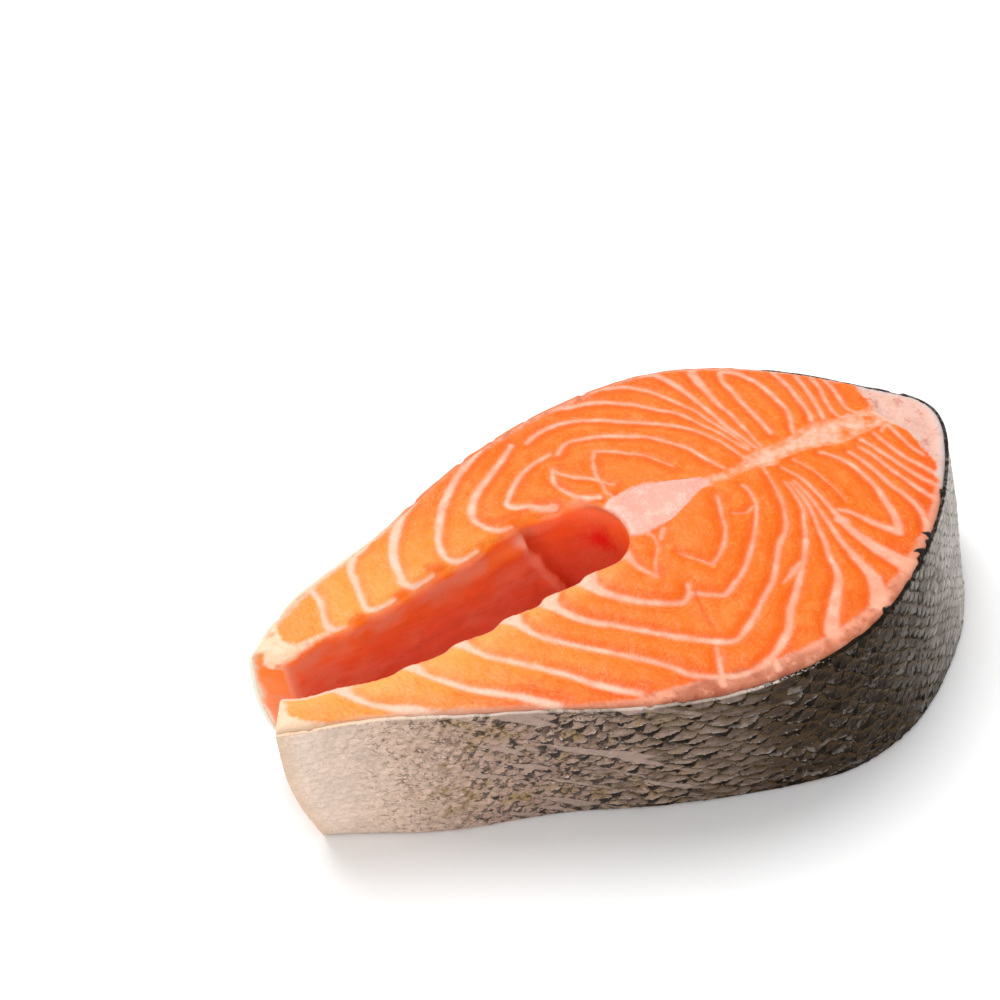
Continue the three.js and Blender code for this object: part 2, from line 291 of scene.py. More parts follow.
LOBE_SLANT = 0.31  # how far the lobe's edge moves for each mm of depth
RECESS = 0.8  # hollow behind the lobe
SAG = 0.45  # the fat's ends hang this far over the rim
BROW_ROUND = 0.12
BROW_PEAK = 0.4  # share of the skin's depth at which its brow is highest
END_SPREAD = 9  # the ends' cross-sections are divided into triangles as if this thick
TORN_BROW = 0.7
SCALE_TILT = 0.9  # length over which a scale slopes off from its free edge
SKIN_WAVES = [(0.2, (11, 7), 45), (0.1, 1.1, 46), (0.14, (2.6, 1.5), 47)]
GIRTH_WARP = [(1.6, 9, 41), (1.1, 3, 42)]  # how far the rows of scales are bent
LENGTH_WARP = [(0.8, 11, 43), (0.55, 3, 44)]
END_SKIN = 1.25  # the skin is this many times as thick at the flaps' ends


# ---- Plan geometry ----
def catmull(points, count):
    """Points along the uniform Catmull-Rom curve through the given ones."""
    p = np.array(points, float)
    t = np.linspace(0, len(p) - 1, count)
    first = np.minimum(t.astype(int), len(p) - 2)
    w = (t - first)[:, None]
    p0, p1, p2, p3 = (p[np.clip(first + k, 0, len(p) - 1)] for k in (-1, 0, 1, 2))
    v1, v2 = (p2 - p0) / 2, (p3 - p1) / 2
    return (2 * p1 - 2 * p2 + v1 + v2) * w**3 + (3 * p2 - 3 * p1 - 2 * v1 - v2) * w**2 + v1 * w + p1


def lengths(line):
    """Distance along a polyline to each of its points."""
    return np.concatenate([[0], np.cumsum(np.linalg.norm(np.diff(line, axis=0), axis=1))])


def even(line, pitch):
    """The polyline again, with points an even distance apart."""
    way = lengths(line)
    steps = max(2, round(way[-1] / pitch))
    at = np.linspace(0, way[-1], steps + 1)
    return np.column_stack([np.interp(at, way, line[:, k]) for k in range(line.shape[1])])


def closed(loop):
    """The loop's points, with the first one again at the end."""
    return np.vstack([loop, loop[:1]])


def even_loop(loop, pitch):
    """The closed loop again, with points an even distance apart."""
    return even(closed(loop), pitch)[:-1]


def to_right(line):
    """Unit vectors to the right of a polyline at its points."""
    along = np.gradient(line, axis=0)
    along /= np.linalg.norm(along, axis=1)[:, None]
    return np.column_stack([along[:, 1], -along[:, 0]])


def at_nearest(along, pitch, values):
    """The values of an even line's points that are nearest to distances along it."""
    return values[np.minimum((along / pitch).round().astype(int), len(values) - 1)]


def chunks(points, line):
    """Slices of the points, each few enough to be set against the whole line at once."""
    size = max(1, PAIRS_AT_ONCE // len(line))
    return [slice(k, k + size) for k in range(0, len(points), size)]


def way_to(points, line):
    """Distance to a polyline, signed side of it (left is +) and distance along it."""
    a, span = line[:-1], np.diff(line, axis=0)
    start = lengths(line)
    size = np.maximum(np.linalg.norm(span, axis=1), 1e-9)
    distance, side, along = (np.empty(len(points)) for _ in range(3))
    for part in chunks(points, a):
        off = points[part][:, None] - a[None]
        share = np.clip((off * span).sum(-1) / size**2, 0, 1)
        gap = np.linalg.norm(off - share[..., None] * span, axis=-1)
        best = gap.argmin(1)
        row = np.arange(len(off))
        cross = span[best, 0] * off[row, best, 1] - span[best, 1] * off[row, best, 0]
        distance[part] = gap[row, best]
        side[part] = np.sign(cross)
        along[part] = start[best] + share[row, best] * size[best]
    return distance, side, along


def distance_to(points, line):
    return way_to(points, line)[0]


def inside(points, loop):
    """Whether each point lies inside a closed loop."""
    result = np.zeros(len(points), bool)
    a, b = loop, np.roll(loop, -1, axis=0)
    rise = np.where(b[:, 1] == a[:, 1], 1e-12, b[:, 1] - a[:, 1])
    for part in chunks(points, a):
        x, y = points[part, :1], points[part, 1:]
        spans = (a[:, 1] > y) != (b[:, 1] > y)
        crossing = a[:, 0] + (y - a[:, 1]) / rise * (b[:, 0] - a[:, 0])
        result[part] = (spans & (x < crossing)).sum(1) % 2 == 1
    return result


def region(points, outline):
    """Signed distance to a rounded region, negative inside it."""
    loop = catmull([*outline, outline[0]], REGION_CORNERS * len(outline))
    distance = distance_to(points, loop)
    return np.where(inside(points, loop[:-1]), -distance, distance)


def smooth(x, low, high):
    """0 at low, 1 at high and an even S between, also where low is the greater."""
    t = np.clip((x - low) / (high - low), 0, 1)
    return t * t * (3 - 2 * t)


def rough(points, pitch, seed):
    """Smooth random numbers from -1 to 1, with one lattice cell to each pitch. The points
    have one or two coordinates.
    """
    scaled = np.reshape(points, (len(points), -1)) / np.asarray(pitch, float)
    cell = np.floor(scaled).astype(int)
    part = scaled - cell
    part = part * part * (3 - 2 * part)
    table = np.random.default_rng(seed).uniform(-1, 1, 4096)
    stride = np.array([1, 57])[: scaled.shape[1]]
    total = np.zeros(len(scaled))
    for corner in itertools.product((0, 1), repeat=scaled.shape[1]):
        weight = np.prod(np.where(corner, part, 1 - part), axis=1)
        total += table[(cell + corner) @ stride % len(table)] * weight
    return total


def uneven(points, layers):
    """Sum of rough layers."""
    return sum(height * rough(points, pitch, seed) for height, pitch, seed in layers)


def bump(x, rise, at, reach, power):
    return rise * np.exp(-(((x - at) / reach) ** power))


def crown_height(q):
    """Height of the upper cut face, without relief."""
    along_x = (q[:, 0] - CROWN_AT[0]) / CROWN_REACH[0]
    along_y = (q[:, 1] - CROWN_AT[1]) / CROWN_REACH[1]
    return THICKNESS + CROWN * np.exp(-(along_x**2) - along_y**2)


OUTLINE = even(catmull(SKIN_LINE, OUTLINE_CORNERS), OUTLINE_PITCH)
OUTWARD = to_right(OUTLINE)
RIM = even(catmull(CAVITY_RIM, CAVITY_CORNERS), CAVITY_PITCH)
INTO_CAVITY = -to_right(RIM)


def egg(grow):
    """Outline of the vertebra, widened all round by grow."""
    angle = np.linspace(0, 2 * math.pi, EGG_CORNERS, endpoint=False)
    cos, sin = np.cos(angle), np.sin(angle)
    reach = np.where(cos > 0, BONE_REACH_BACK, BONE_REACH_BELLY) + grow
    side = BONE_REACH_SIDE * (1 - BONE_TAPER * np.maximum(0, cos)) + grow
    return np.column_stack([BONE_AT[0] + reach * cos, BONE_AT[1] + side * sin])


def carried(q, outward, near_skin, rise):
    """Where a plan place lies at a height, 0 at the foot to 1 at the top, as the knife went."""
    flare = (1 - rise) * (bump(q[:, 0], *BELLY_FLARE) + bump(q[:, 0], *BACK_FLARE))
    halfway = np.sin(math.pi * rise)
    place = q + outward * (near_skin * (flare + SIDE_SWELL * halfway))[:, None]
    place[:, 0] += LEAN * (1 - rise) - bump(q[:, 0], *TIP_SWELL) * halfway
    return place


# ---- Closed meshes over a plan region ----
def hex_grid(low, high, pitch):
    """Points of a triangular lattice over a box."""
    xs = np.arange(low[0], high[0], pitch)
    ys = np.arange(low[1], high[1], pitch * math.sqrt(3) / 2)
    x, y = np.meshgrid(xs, ys)
    x[1::2] += pitch / 2
    return np.column_stack([x.ravel(), y.ravel()])


def ring_edges(count, first=0):
    """Pairs of neighbours round a ring of numbers."""
    return [(first + k, first + (k + 1) % count) for k in range(count)]


def delaunay(points, edges, only_inside):
    """Triangles between the numbered points that keep the given edges."""
    _, _, faces, origin, _, _ = delaunay_2d_cdt(
        [Vector(p) for p in points], edges, [], int(only_inside), 1e-6
    )
    number = np.array([o[0] if o else -1 for o in origin])
    return number[np.array([f for f in faces if len(f) == 3])]


def triangulated(loops, pitch):
    """Plan points, the loops' first, and the triangles of the region that the loops bound."""
    ring = np.concatenate(loops)
    grid = hex_grid(ring.min(0), ring.max(0), pitch)
    grid = grid[inside(grid, loops[0])]
    edges = []
    for loop in loops:
        if loop is not loops[0]:
            grid = grid[~inside(grid, loop)]
        grid = grid[distance_to(grid, closed(loop)) > CLEAR * pitch]
        edges += ring_edges(len(loop), len(edges))
    points = np.vstack([ring, grid])
    faces = delaunay(points, edges, False)
    on_ring = (faces < len(ring)).all(axis=1)
    middle = points[faces[on_ring]].mean(axis=1)
    keep = np.ones(len(faces), bool)
    keep[on_ring] = inside(middle, loops[0])
    for loop in loops[1:]:
        keep[on_ring] &= ~inside(middle, loop)
    return points, faces[keep]


def slab(loops, rows):
    """A closed solid over a plan region: the plan points, which of them each corner stands
    over, how high it stands from 0 to 1, and the triangles. The first loop runs
    anticlockwise, and any hole runs clockwise.
    """
    top, top_faces = triangulated(loops, TOP_PITCH)
    foot, foot_faces = triangulated(loops, FOOT_PITCH)
    ring = sum(len(loop) for loop in loops)
    plan = np.vstack([top, foot[ring:]])
    between = 1 - (np.arange(1, rows) / rows) ** FINER_ABOVE
    source = [np.arange(len(top))] + [np.arange(ring)] * rows + [np.arange(len(top), len(plan))]
    rise = [np.ones(len(top))] + [np.full(ring, r) for r in between] + [np.zeros(len(foot))]
    faces = [top_faces, foot_faces[:, ::-1] + len(top) + ring * (rows - 1)]
    first = 0
    for loop in loops:
        here, after = (first + np.roll(np.arange(len(loop)), turn) for turn in (0, -1))
        for row in range(rows):
            upper = 0 if row == 0 else len(top) + ring * (row - 1)
            lower = len(top) + ring * row
            a, b, c, d = lower + here, lower + after, upper + after, upper + here
            faces += [np.column_stack([a, b, c]), np.column_stack([a, c, d])]
        first += len(loop)
    return plan, np.concatenate(source), np.concatenate(rise), np.vstack(faces)


def add_object(name, data):
    thing = bpy.data.objects.new(name, data)
    bpy.context.scene.collection.objects.link(thing)
    return thing


def add_mesh(name, place, z, faces, values=(), flat=None):
    """Object in the row frame, smooth but for the flat triangles. Its values are pairs of a
    name and a number, or two, for each corner.
    """
    corners = (np.column_stack([place, z]) - [*MIDDLE, 0]) * MM
    mesh = bpy.data.meshes.new(name)
    mesh.vertices.add(len(corners))
    mesh.vertices.foreach_set("co", corners.astype(np.float32).ravel())
    mesh.loops.add(faces.size)
    mesh.loops.foreach_set("vertex_index", faces.astype(np.int32).ravel())
    mesh.polygons.add(len(faces))
    mesh.polygons.foreach_set("loop_start", np.arange(0, faces.size, 3, dtype=np.int32))
    mesh.update(calc_edges=True)
    if flat is None:
        flat = np.zeros(len(faces), bool)
    mesh.polygons.foreach_set("use_smooth", ~flat)
    edge_of = np.empty(faces.size, np.int32)
    mesh.loops.foreach_get("edge_index", edge_of)
    flat_sides = np.bincount(edge_of, np.repeat(flat, 3), len(mesh.edges))
    mesh.edges.foreach_set("use_edge_sharp", flat_sides == 1)
    for key, value in values:
        kind, part = "FLOAT", "value"
        if value.ndim == 2:
            kind, part = "FLOAT_VECTOR", "vector"
            value = np.column_stack([value, np.zeros(len(value))])
        data = mesh.attributes.new(key, kind, "POINT").data
        data.foreach_set(part, value.astype(np.float32).ravel())
    return add_object(name, mesh)


# ---- What grows where ----
def seam_fields(q, from_rim):
    """For each plan place: distance past the edge of the nearest fat line, the same on the
    line's inner side alone, and its place in the grain, along the line and across it.
    """
    fat, inner_shade, grain = np.full(len(q), REACH), np.full(len(q), REACH), q.copy()
    for number, (widths, points) in enumerate(SEAMS):
        line = catmull(points, SEAM_CORNERS * len(points))
        low, high = line.min(0) - REACH, line.max(0) + REACH
        near = np.flatnonzero(((q > low) & (q < high)).all(axis=1))
        distance, side, along = way_to(q[near], line)
        way = lengths(line)
        width = np.interp(along / way[-1], np.linspace(0, 1, len(widths)), widths)
        width += THIN_GAIN * smooth(width, 1.6, 0.8)
        gain = np.where(q[near, 1] < MIDLINE, *RIM_GAIN) * (q[near, 0] < 0)
        width *= 1 + gain * np.exp(-((from_rim[near] / RIM_GAIN_REACH) ** 2))
        past = distance - width / 2
        closer = past < fat[near]
        change, past, along = near[closer], past[closer], along[closer]
        fat[change] = past
        foot = np.column_stack([np.interp(along, way, c) for c in line.T])
        inner = np.linalg.norm(q[change] - HEART, axis=1) < np.linalg.norm(foot - HEART, axis=1)
        inner_shade[change] = np.where(inner, past, REACH)
        along = along + GRAIN_APART * number
        grain[change] = np.column_stack([along, (distance * side)[closer]])
    return fat, inner_shade, grain


def without(q, field, islands):
    """A region's field with round islands, each a centre and a reach, taken out of it."""
    holes = [reach - np.linalg.norm(q - centre, axis=1) for centre, reach in islands]
    return np.max([field, *holes], axis=0)


def flesh_fields(q):
    """Everything that the flesh's shape and colour read, at each plan place."""
    from_skin, _, along = way_to(q, OUTLINE)
    from_rim, _, rim_along = way_to(q, RIM)
    fat, inner_shade, grain = seam_fields(q, from_rim)
    near_band, far_band = (np.interp(q[:, 0], *zip(*band)) for band in (NEAR_BAND, FAR_BAND))
    from_skin = np.maximum(0, from_skin - FLESH_INSIDE)
    cream = np.minimum(region(q, FAR_TIP_CREAM), region(q, NEAR_TIP_CREAM))
    return {
        "fat": fat,
        "inner_shade": inner_shade,
        "grain": grain,
        "from_skin": from_skin,
        "from_rim": from_rim,
        "rim_along": rim_along,
        "band": from_skin - np.where(q[:, 1] < MIDLINE, near_band, far_band),
        "septum": without(q, region(q, SEPTUM), SEPTUM_ISLANDS),
        "pad": region(q, BACK_PAD),
        "rose": region(q, ROSE_PATCH),
        "cream": without(q, cream, TIP_SPOTS),
        "torn": np.min([region(q, outline) for outline in TORN_SKIN], axis=0),
        "crack": np.min([distance_to(q, catmull(points, CRACK_CORNERS)) for points in CRACKS], axis=0),
        "fold_shade": np.min([distance_to(q, np.array(fold)) - r for r, fold in FOLD_SHADES], axis=0),
        "vertebra": region(q, VERTEBRA),
        "backness": q[:, 0],
        "outward": at_nearest(along, OUTLINE_PITCH, OUTWARD),
    }


def top_relief(q, f):
    """Height of the flakes' faces and of the sunken fat between them."""
    pillow = PILLOW * (1 - np.exp(-np.maximum(0, f["fat"]) / PILLOW_REACH)) - FAT_SUNK
    pillow *= smooth(f["septum"], -1, 2) * smooth(f["vertebra"], 0, 3)
    pad = -PAD_SUNK * (1 - smooth(f["pad"], -2.5, 0.3))
    pad -= SEPTUM_SUNK * (1 - smooth(f["septum"], -1.5, 0.5))
    from_hollow = np.linalg.norm((q - HOLLOW_AT) / HOLLOW_REACH, axis=1)
    bone = -HOLLOW * (1 - smooth(from_hollow, 0.2, 1))
    bone += 0.12 * rough(q, 1.9, 14) * (1 - smooth(f["vertebra"], -0.5, 1))
    return pillow + pad + uneven(q, FACE_WAVES) + bone


def rim_drop(q, f, from_edge):
    """How far the upper cut face is rounded off near its edge, the most at the belly gap."""
    soft = smooth(f["from_skin"] - f["from_rim"], -1, 1) * smooth(q[:, 0], 0.5, -4)
    far = smooth(q[:, 1], 2, 6)
    reach, fall = (
        flat + soft * (near + far * (beyond - near) - flat)
        for flat, near, beyond in zip((EDGE, EDGE_DROP), NEAR_RIM, FAR_RIM)
    )
    return fall * (1 - np.sqrt(1 - np.clip(1 - from_edge / reach, 0, 1) ** 2))


def upper_face(q, f, from_edge):
    """Height of the upper cut face: the crown, its relief and its rounded rim."""
    calm = 0.25 + 0.75 * smooth(from_edge, 0, 2.5)
    return crown_height(q) - rim_drop(q, f, from_edge) + calm * top_relief(q, f)


# ---- Flesh ----
def flesh_loop():
    """Outline of the flesh in plan, with its corners rounded."""
    outer = even(OUTLINE - FLESH_INSIDE * OUTWARD, LOOP_PITCH)
    ring = even_loop(np.vstack([outer, even(RIM, LOOP_PITCH)[::-1]]), LOOP_PITCH)
    padded = np.vstack([ring[-CORNER_WINDOW:], ring, ring[:CORNER_WINDOW]])
    kernel = np.hanning(CORNER_WINDOW + 2)[1:-1]
    kernel /= kernel.sum()
    soft = np.column_stack([np.convolve(column, kernel, "same") for column in padded.T])
    soft = soft[CORNER_WINDOW:-CORNER_WINDOW]
    at_skin = distance_to(soft, outer) < 0.4
    skip = np.where(at_skin, SKIN_SIDE_PITCH, RIM_PITCH) / LOOP_PITCH
    keep, travelled = [], 0.0
    for k in range(len(soft)):
        travelled += 1 / skip[k]
        if travelled >= 1:
            travelled -= 1
            keep.append(k)
    return soft[keep]


def wall_relief(q, z, deep, sheet, f):
    """How the cavity's wall moves: folds and streaks along it, a lobe of the far wall with a
    hollow behind it, and the fat's ends, which sag over the rim.
    """
    folds = uneven(sheet, WALL_FOLDS) * (1 - 0.6 * smooth(q[:, 0], -12, -4))
    far_wall = q[:, 1] > MIDLINE
    lobe = LOBE_RISE * smooth(f["lobe"], -0.8, 1) * smooth(q[:, 0], -38, -20)
    lobe *= smooth(deep, 0.3, 4)
    hollow = RECESS * smooth(f["lobe"], 0.5, -2.5) * smooth(deep, 1, 6) * smooth(q[:, 0], 0, -5)
    near_folds = np.minimum(folds, 0) * smooth(deep, 2, 9)
    folds = np.where(far_wall, folds + lobe - hollow, near_folds)
    fat_end = 1 - smooth(f["fat"], -0.8, 1.3)
    sag = (SAG * fat_end - 0.15) * np.exp(-((deep / 2) ** 2)) * far_wall
    off = folds * smooth(deep, 0, 4) * smooth(z, 0, 2) + sag
    return at_nearest(f["rim_along"], CAVITY_PITCH, INTO_CAVITY) * off[:, None]


def make_flesh():
    loop = flesh_loop()
    hole = even_loop(egg(HOLE_GROW), EGG_PITCH)[::-1]
    plan, source, rise, faces = slab([loop, hole], WALL_ROWS)
    f = flesh_fields(plan)
    edge_way, hole_way = (distance_to(plan, closed(ring)) for ring in (loop, hole))
    inner_way = np.minimum(f["from_rim"], hole_way)
    near_skin = inner_way / np.maximum(inner_way + f["from_skin"], 1e-6)
    top = upper_face(plan, f, edge_way)[source]
    rounding = rim_drop(plan, f, edge_way)[source]
    f = {key: value[source] for key, value in f.items()}
    q = plan[source]
    on_edge, on_hole = (way[source] < TOUCHING for way in (edge_way, hole_way))
    place = carried(q, f.pop("outward"), near_skin[source], rise)
    z = rise * top
    deep = top - z

    sheet = np.column_stack([f["rim_along"], z + 0.1 * q[:, 0]])
    f["lobe"] = LOBE_EDGE + LOBE_SLANT * deep + 0.8 * rough(sheet, 4, 24) - q[:, 0]
    wall = (rise > 0) & (rise < 1) & (f["from_rim"] < 0.5) & on_edge
    place += wall_relief(q, z, deep, sheet, f) * wall[:, None]
    f["deep"] = np.where((rise == 0) & ~on_edge & ~on_hole, 0, deep + rounding)
    f["blood"] = np.linalg.norm(np.column_stack([q, deep]) - np.array(RED_SPOT), axis=1)
    f["sheet"] = sheet
    del f["rim_along"]
    return add_mesh("flesh_meat", place, z, faces, f.items(), on_hole[faces].all(axis=1))


def make_backbone():
    loop = even_loop(egg(BONE_GROW), EGG_PITCH)
    plan, source, rise, faces = slab([loop], BONE_ROWS)
    f = flesh_fields(plan)
    no_edge = np.full(len(plan), REACH)
    top = (upper_face(plan, f, no_edge) - BONE_SUNK)[source]
    place = carried(plan[source], f["outward"][source], np.zeros(len(source)), rise)
    z = BONE_FOOT + rise * (top - BONE_FOOT)
    on_side = distance_to(plan, closed(loop))[source] < TOUCHING
    return add_mesh("backbone_cut", place, z, faces, flat=on_side[faces].all(axis=1))


# ---- Skin ----
SCALE_WIDE = 5.4
SCALE_LONG = 2.1
SCALE_CURVE = 1.1  # how far a scale's free edge bends up at its ends
SCALE_LOW = 0.4  # where along its width that edge is lowest
SCALE_SIZES = [(-80, 2), (-60, 2.1), (-45, 1.9), (-32, 1.3), (-18, 0.92), (0, 0.9),
               (12, 1), (30, 1.4), (60, 1.9), (80, 2)]  # x, how fine the scales are


def above(x):
    return (x + abs(x)) * 0.5


def scale_pattern(girth, length, floor):
    """Overlapping scales whose free edges point down and whose tips point along the girth.
    girth and length may be arrays or wires of a material. Gives the distance up from the
    scale's own free edge, the distance down from the edge of the scale that covers it, the
    place along that edge from 0 to 1, and the scale's row, its column and the column of the
    one that covers it.
    """

    def row_edge(row):
        shifted = girth / SCALE_WIDE + row * 0.5
        column = floor(shifted)
        along = shifted - column
        left = above(SCALE_LOW - along) * (1 / SCALE_LOW)
        right = above(along - SCALE_LOW) * (1 / (1 - SCALE_LOW))
        bend = left * left * 0.8 + right * right * (right * 0.6 + 0.4)
        return row * SCALE_LONG + bend * SCALE_CURVE, along, column

    row = floor(length / SCALE_LONG)
    edge, along, column = row_edge(row)
    lower_edge, _, lower_column = row_edge(row - 1)
    upper_edge, upper_along, upper_column = row_edge(row + 1)
    own = length > edge
    other = 1 - own
    return (
        (length - edge) * own + (length - lower_edge) * other,
        (upper_edge - length) * own + (edge - length) * other,
        upper_along * own + along * other,
        row * own + (row - 1) * other,
        column * own + lower_column * other,
        upper_column * own + column * other,
    )


def skin_section():
    """A ring round the skin's section: up the outer face, over the brow, down the inner face.
    Gives each corner's height and its depth in the skin, both from 0 to 1.
    """
    rows = round(THICKNESS / SKIN_PITCH)
    up = np.concatenate([np.linspace(0, 1, rows + 1), np.linspace(1, 0, INNER_ROWS + 1)])
    depth = np.repeat([0.0, 1.0], [rows + 1, INNER_ROWS + 1])
    up[rows : rows + 2] = 1 - BROW_ROUND / THICKNESS
    return np.insert(up, rows + 1, 1.0), np.insert(depth, rows + 1, BROW_PEAK)


def scale_sheet(line, s, z):
    """Where the skin's corners lie on the sheet of scales, which is warped so that no two
    rows are quite alike, and mirrored at the back.
    """
    ring = len(s) // len(line)
    fineness = np.interp(line[:, 0], *zip(*SCALE_SIZES))
    counted = np.cumsum(fineness) * SKIN_PITCH
    middle = counted[np.argmax(line[:, 0])] + 3 * rough(z, 5, 48)
    counted = middle - abs(np.repeat(counted, ring) - middle)
    height = (z - THICKNESS / 2) * (1 + 0.3 * (np.repeat(fineness, ring) - 1))
    plain = np.column_stack([s, z])
    girth = counted + uneven(plain, GIRTH_WARP)
    return np.column_stack([girth, height - 0.1 * counted + uneven(plain, LENGTH_WARP)])


def skin_faces(ring, section):
    """Triangles of the swept ring, closed at both ends. section has the corners' places in
    their own cross-section.
    """
    index = np.arange(len(section)).reshape(-1, ring)
    a, b = index[:-1], index[1:]
    after = np.roll(np.arange(ring), -1)
    quads = np.stack([a, b, b[:, after], a[:, after]], axis=-1).reshape(-1, 4)
    faces = [quads[:, [0, 1, 2]], quads[:, [0, 2, 3]]]
    for end, turn in ((index[0], 1), (index[-1], -1)):
        faces.append(end[delaunay(section[end], ring_edges(ring), True)][:, ::-turn])
    return np.vstack(faces)


def make_skin():
    line = even(OUTLINE, SKIN_PITCH)
    up, depth = skin_section()
    u, d = np.tile(up, len(line)), np.tile(depth, len(line))
    q, out, s = (np.repeat(x, len(up), axis=0) for x in (line, to_right(line), lengths(line)))
    ends = np.minimum(s, s[-1] - s)
    foot = SKIN_FOOT - 0.25 * rough(s, 1.3, 31) ** 2 + 0.2 * rough(s, 4.7, 32)
    nick = smooth(rough(s, 3.1, 33), 0.62, 0.9)
    level = crown_height(q) - EDGE_DROP - SKIN_BROW
    brow = level + 0.14 * rough(s, 1.9, 34) + 0.2 * rough(s, 7.3, 35) - 0.5 * nick
    torn = smooth(rough(s, 1.5, 36), 0.05, 0.6) * (q[:, 1] < 0)
    brow += TORN_BROW * torn * smooth(q[:, 0], 44, 48) * smooth(q[:, 0], 57, 54)
    z = foot + (brow - foot) * u

    sheet = scale_sheet(line, s, z)
    up_scale = scale_pattern(*sheet.T, np.floor)[0]
    tilt = np.exp(-np.maximum(0, up_scale) / SCALE_TILT)
    strength = 0.03 + 0.25 * smooth(q[:, 0], -48, -12) - 0.22 * smooth(q[:, 0], 36, 56)
    plain = np.column_stack([s, z])
    relief = strength * tilt + uneven(plain, SKIN_WAVES)
    outer_face = (d < TOUCHING) & (u < 0.995) & (u > 0)
    thick = SKIN_THICK * (END_SKIN - (END_SKIN - 1) * smooth(ends, 0, 3))
    inset = d * thick - relief * outer_face * smooth(brow - z, 0, 0.8)
    rise = np.clip(z / level, 0, 1)
    place = carried(q - out * inset[:, None], out, np.ones(len(q)), rise)
    faces = skin_faces(len(up), np.column_stack([d * END_SPREAD, z]))
    values = {
        "sheet": sheet,
        "plain": plain,
        "slant": np.column_stack([s, z + 0.45 * s]),
        "backness": q[:, 0],
        "below_brow": brow - z,
        "above_foot": z - foot,
        "inset": d,
        "ends": ends,
    }
    return add_mesh("skin_scales", place, z, faces, values.items())


# ---- Materials ----
TOP_LIGHT = 1.28  # how bright the studio makes a white level face
SIDE_LIGHT = 0.9  # and an upright one
GAP_LIGHT = 1.05  # as much as the belly gap's red walls are brightened by
NOISE_GAIN = 1.6  # spreads a noise node's narrow range over about -0.5 to 0.5


def rgb(red, green, blue, light=TOP_LIGHT):
    """Linear colour that shows as these 0 to 255 numbers in such a light."""
    linear = (
        c / 12.92 if c <= 0.04045 else ((c + 0.055) / 1.055) ** 2.4
        for c in (red / 255, green / 255, blue / 255)
    )
    return tuple(min(0.95, c / light) for c in linear) + (1.0,)


side_rgb = partial(rgb, light=SIDE_LIGHT)
gap_rgb = partial(rgb, light=GAP_LIGHT)


def add_node(tree, kind, inputs=(), **settings):
    """New node. Its inputs, by name or number, get a value or another node's output."""
    node = tree.nodes.new(kind)
    for key, value in settings.items():
        setattr(node, key, value)
    for key, value in dict(inputs).items():
        value = getattr(value, "socket", value)
        if isinstance(value, bpy.types.NodeSocket):
            tree.links.new(value, node.inputs[key])
        else:
            node.inputs[key].default_value = value
    return node


class Wire:
    """A number inside a material. Sums with it become the material's maths nodes."""

    def __init__(self, tree, socket):
        self.tree, self.socket = tree, socket

    def maths(self, operation, *others):
        inputs = dict(enumerate((self, *others)))
        node = add_node(self.tree, "ShaderNodeMath", inputs, operation=operation)
        return Wire(self.tree, node.outputs[0])

    __add__ = __radd__ = partialmethod(maths, "ADD")
    __mul__ = __rmul__ = partialmethod(maths, "MULTIPLY")
    __sub__ = partialmethod(maths, "SUBTRACT")
    __truediv__ = partialmethod(maths, "DIVIDE")
    __gt__ = partialmethod(maths, "GREATER_THAN")
    __abs__ = partialmethod(maths, "ABSOLUTE")
    most = partialmethod(maths, "MAXIMUM")
    floor = partialmethod(maths, "FLOOR")
    fraction = partialmethod(maths, "FRACT")
    sine = partialmethod(maths, "SINE")

    def __rsub__(self, other):
        return (self * -1) + other

    def step(self, low, high, start=0.0, end=1.0):
        """start below low, end above high and an even S between."""
        ends = {"From Min": low, "From Max": high, "To Min": start, "To Max": end}
        node = add_node(
            self.tree, "ShaderNodeMapRange", {"Value": self, **ends},
            interpolation_type="SMOOTHSTEP",
        )
        return Wire(self.tree, node.outputs["Result"])

    def fall(self, low, high):
        """1 below low, 0 above high and an even S between."""
        return self.step(low, high, 1, 0)


class Coat:
    """A colour inside a material, which further layers are laid on."""

    def __init__(self, paint, socket):
        self.paint, self.socket = paint, socket

    def lay(self, tone, share):
        self.socket = self.paint.mix(self, tone, share)

    def light(self, amount):
        """Makes it a number of times as bright."""
        inputs = {0: self, "Scale": amount}
        node = add_node(self.paint.tree, "ShaderNodeVectorMath", inputs, operation="SCALE")
        self.socket = node.outputs["Vector"]


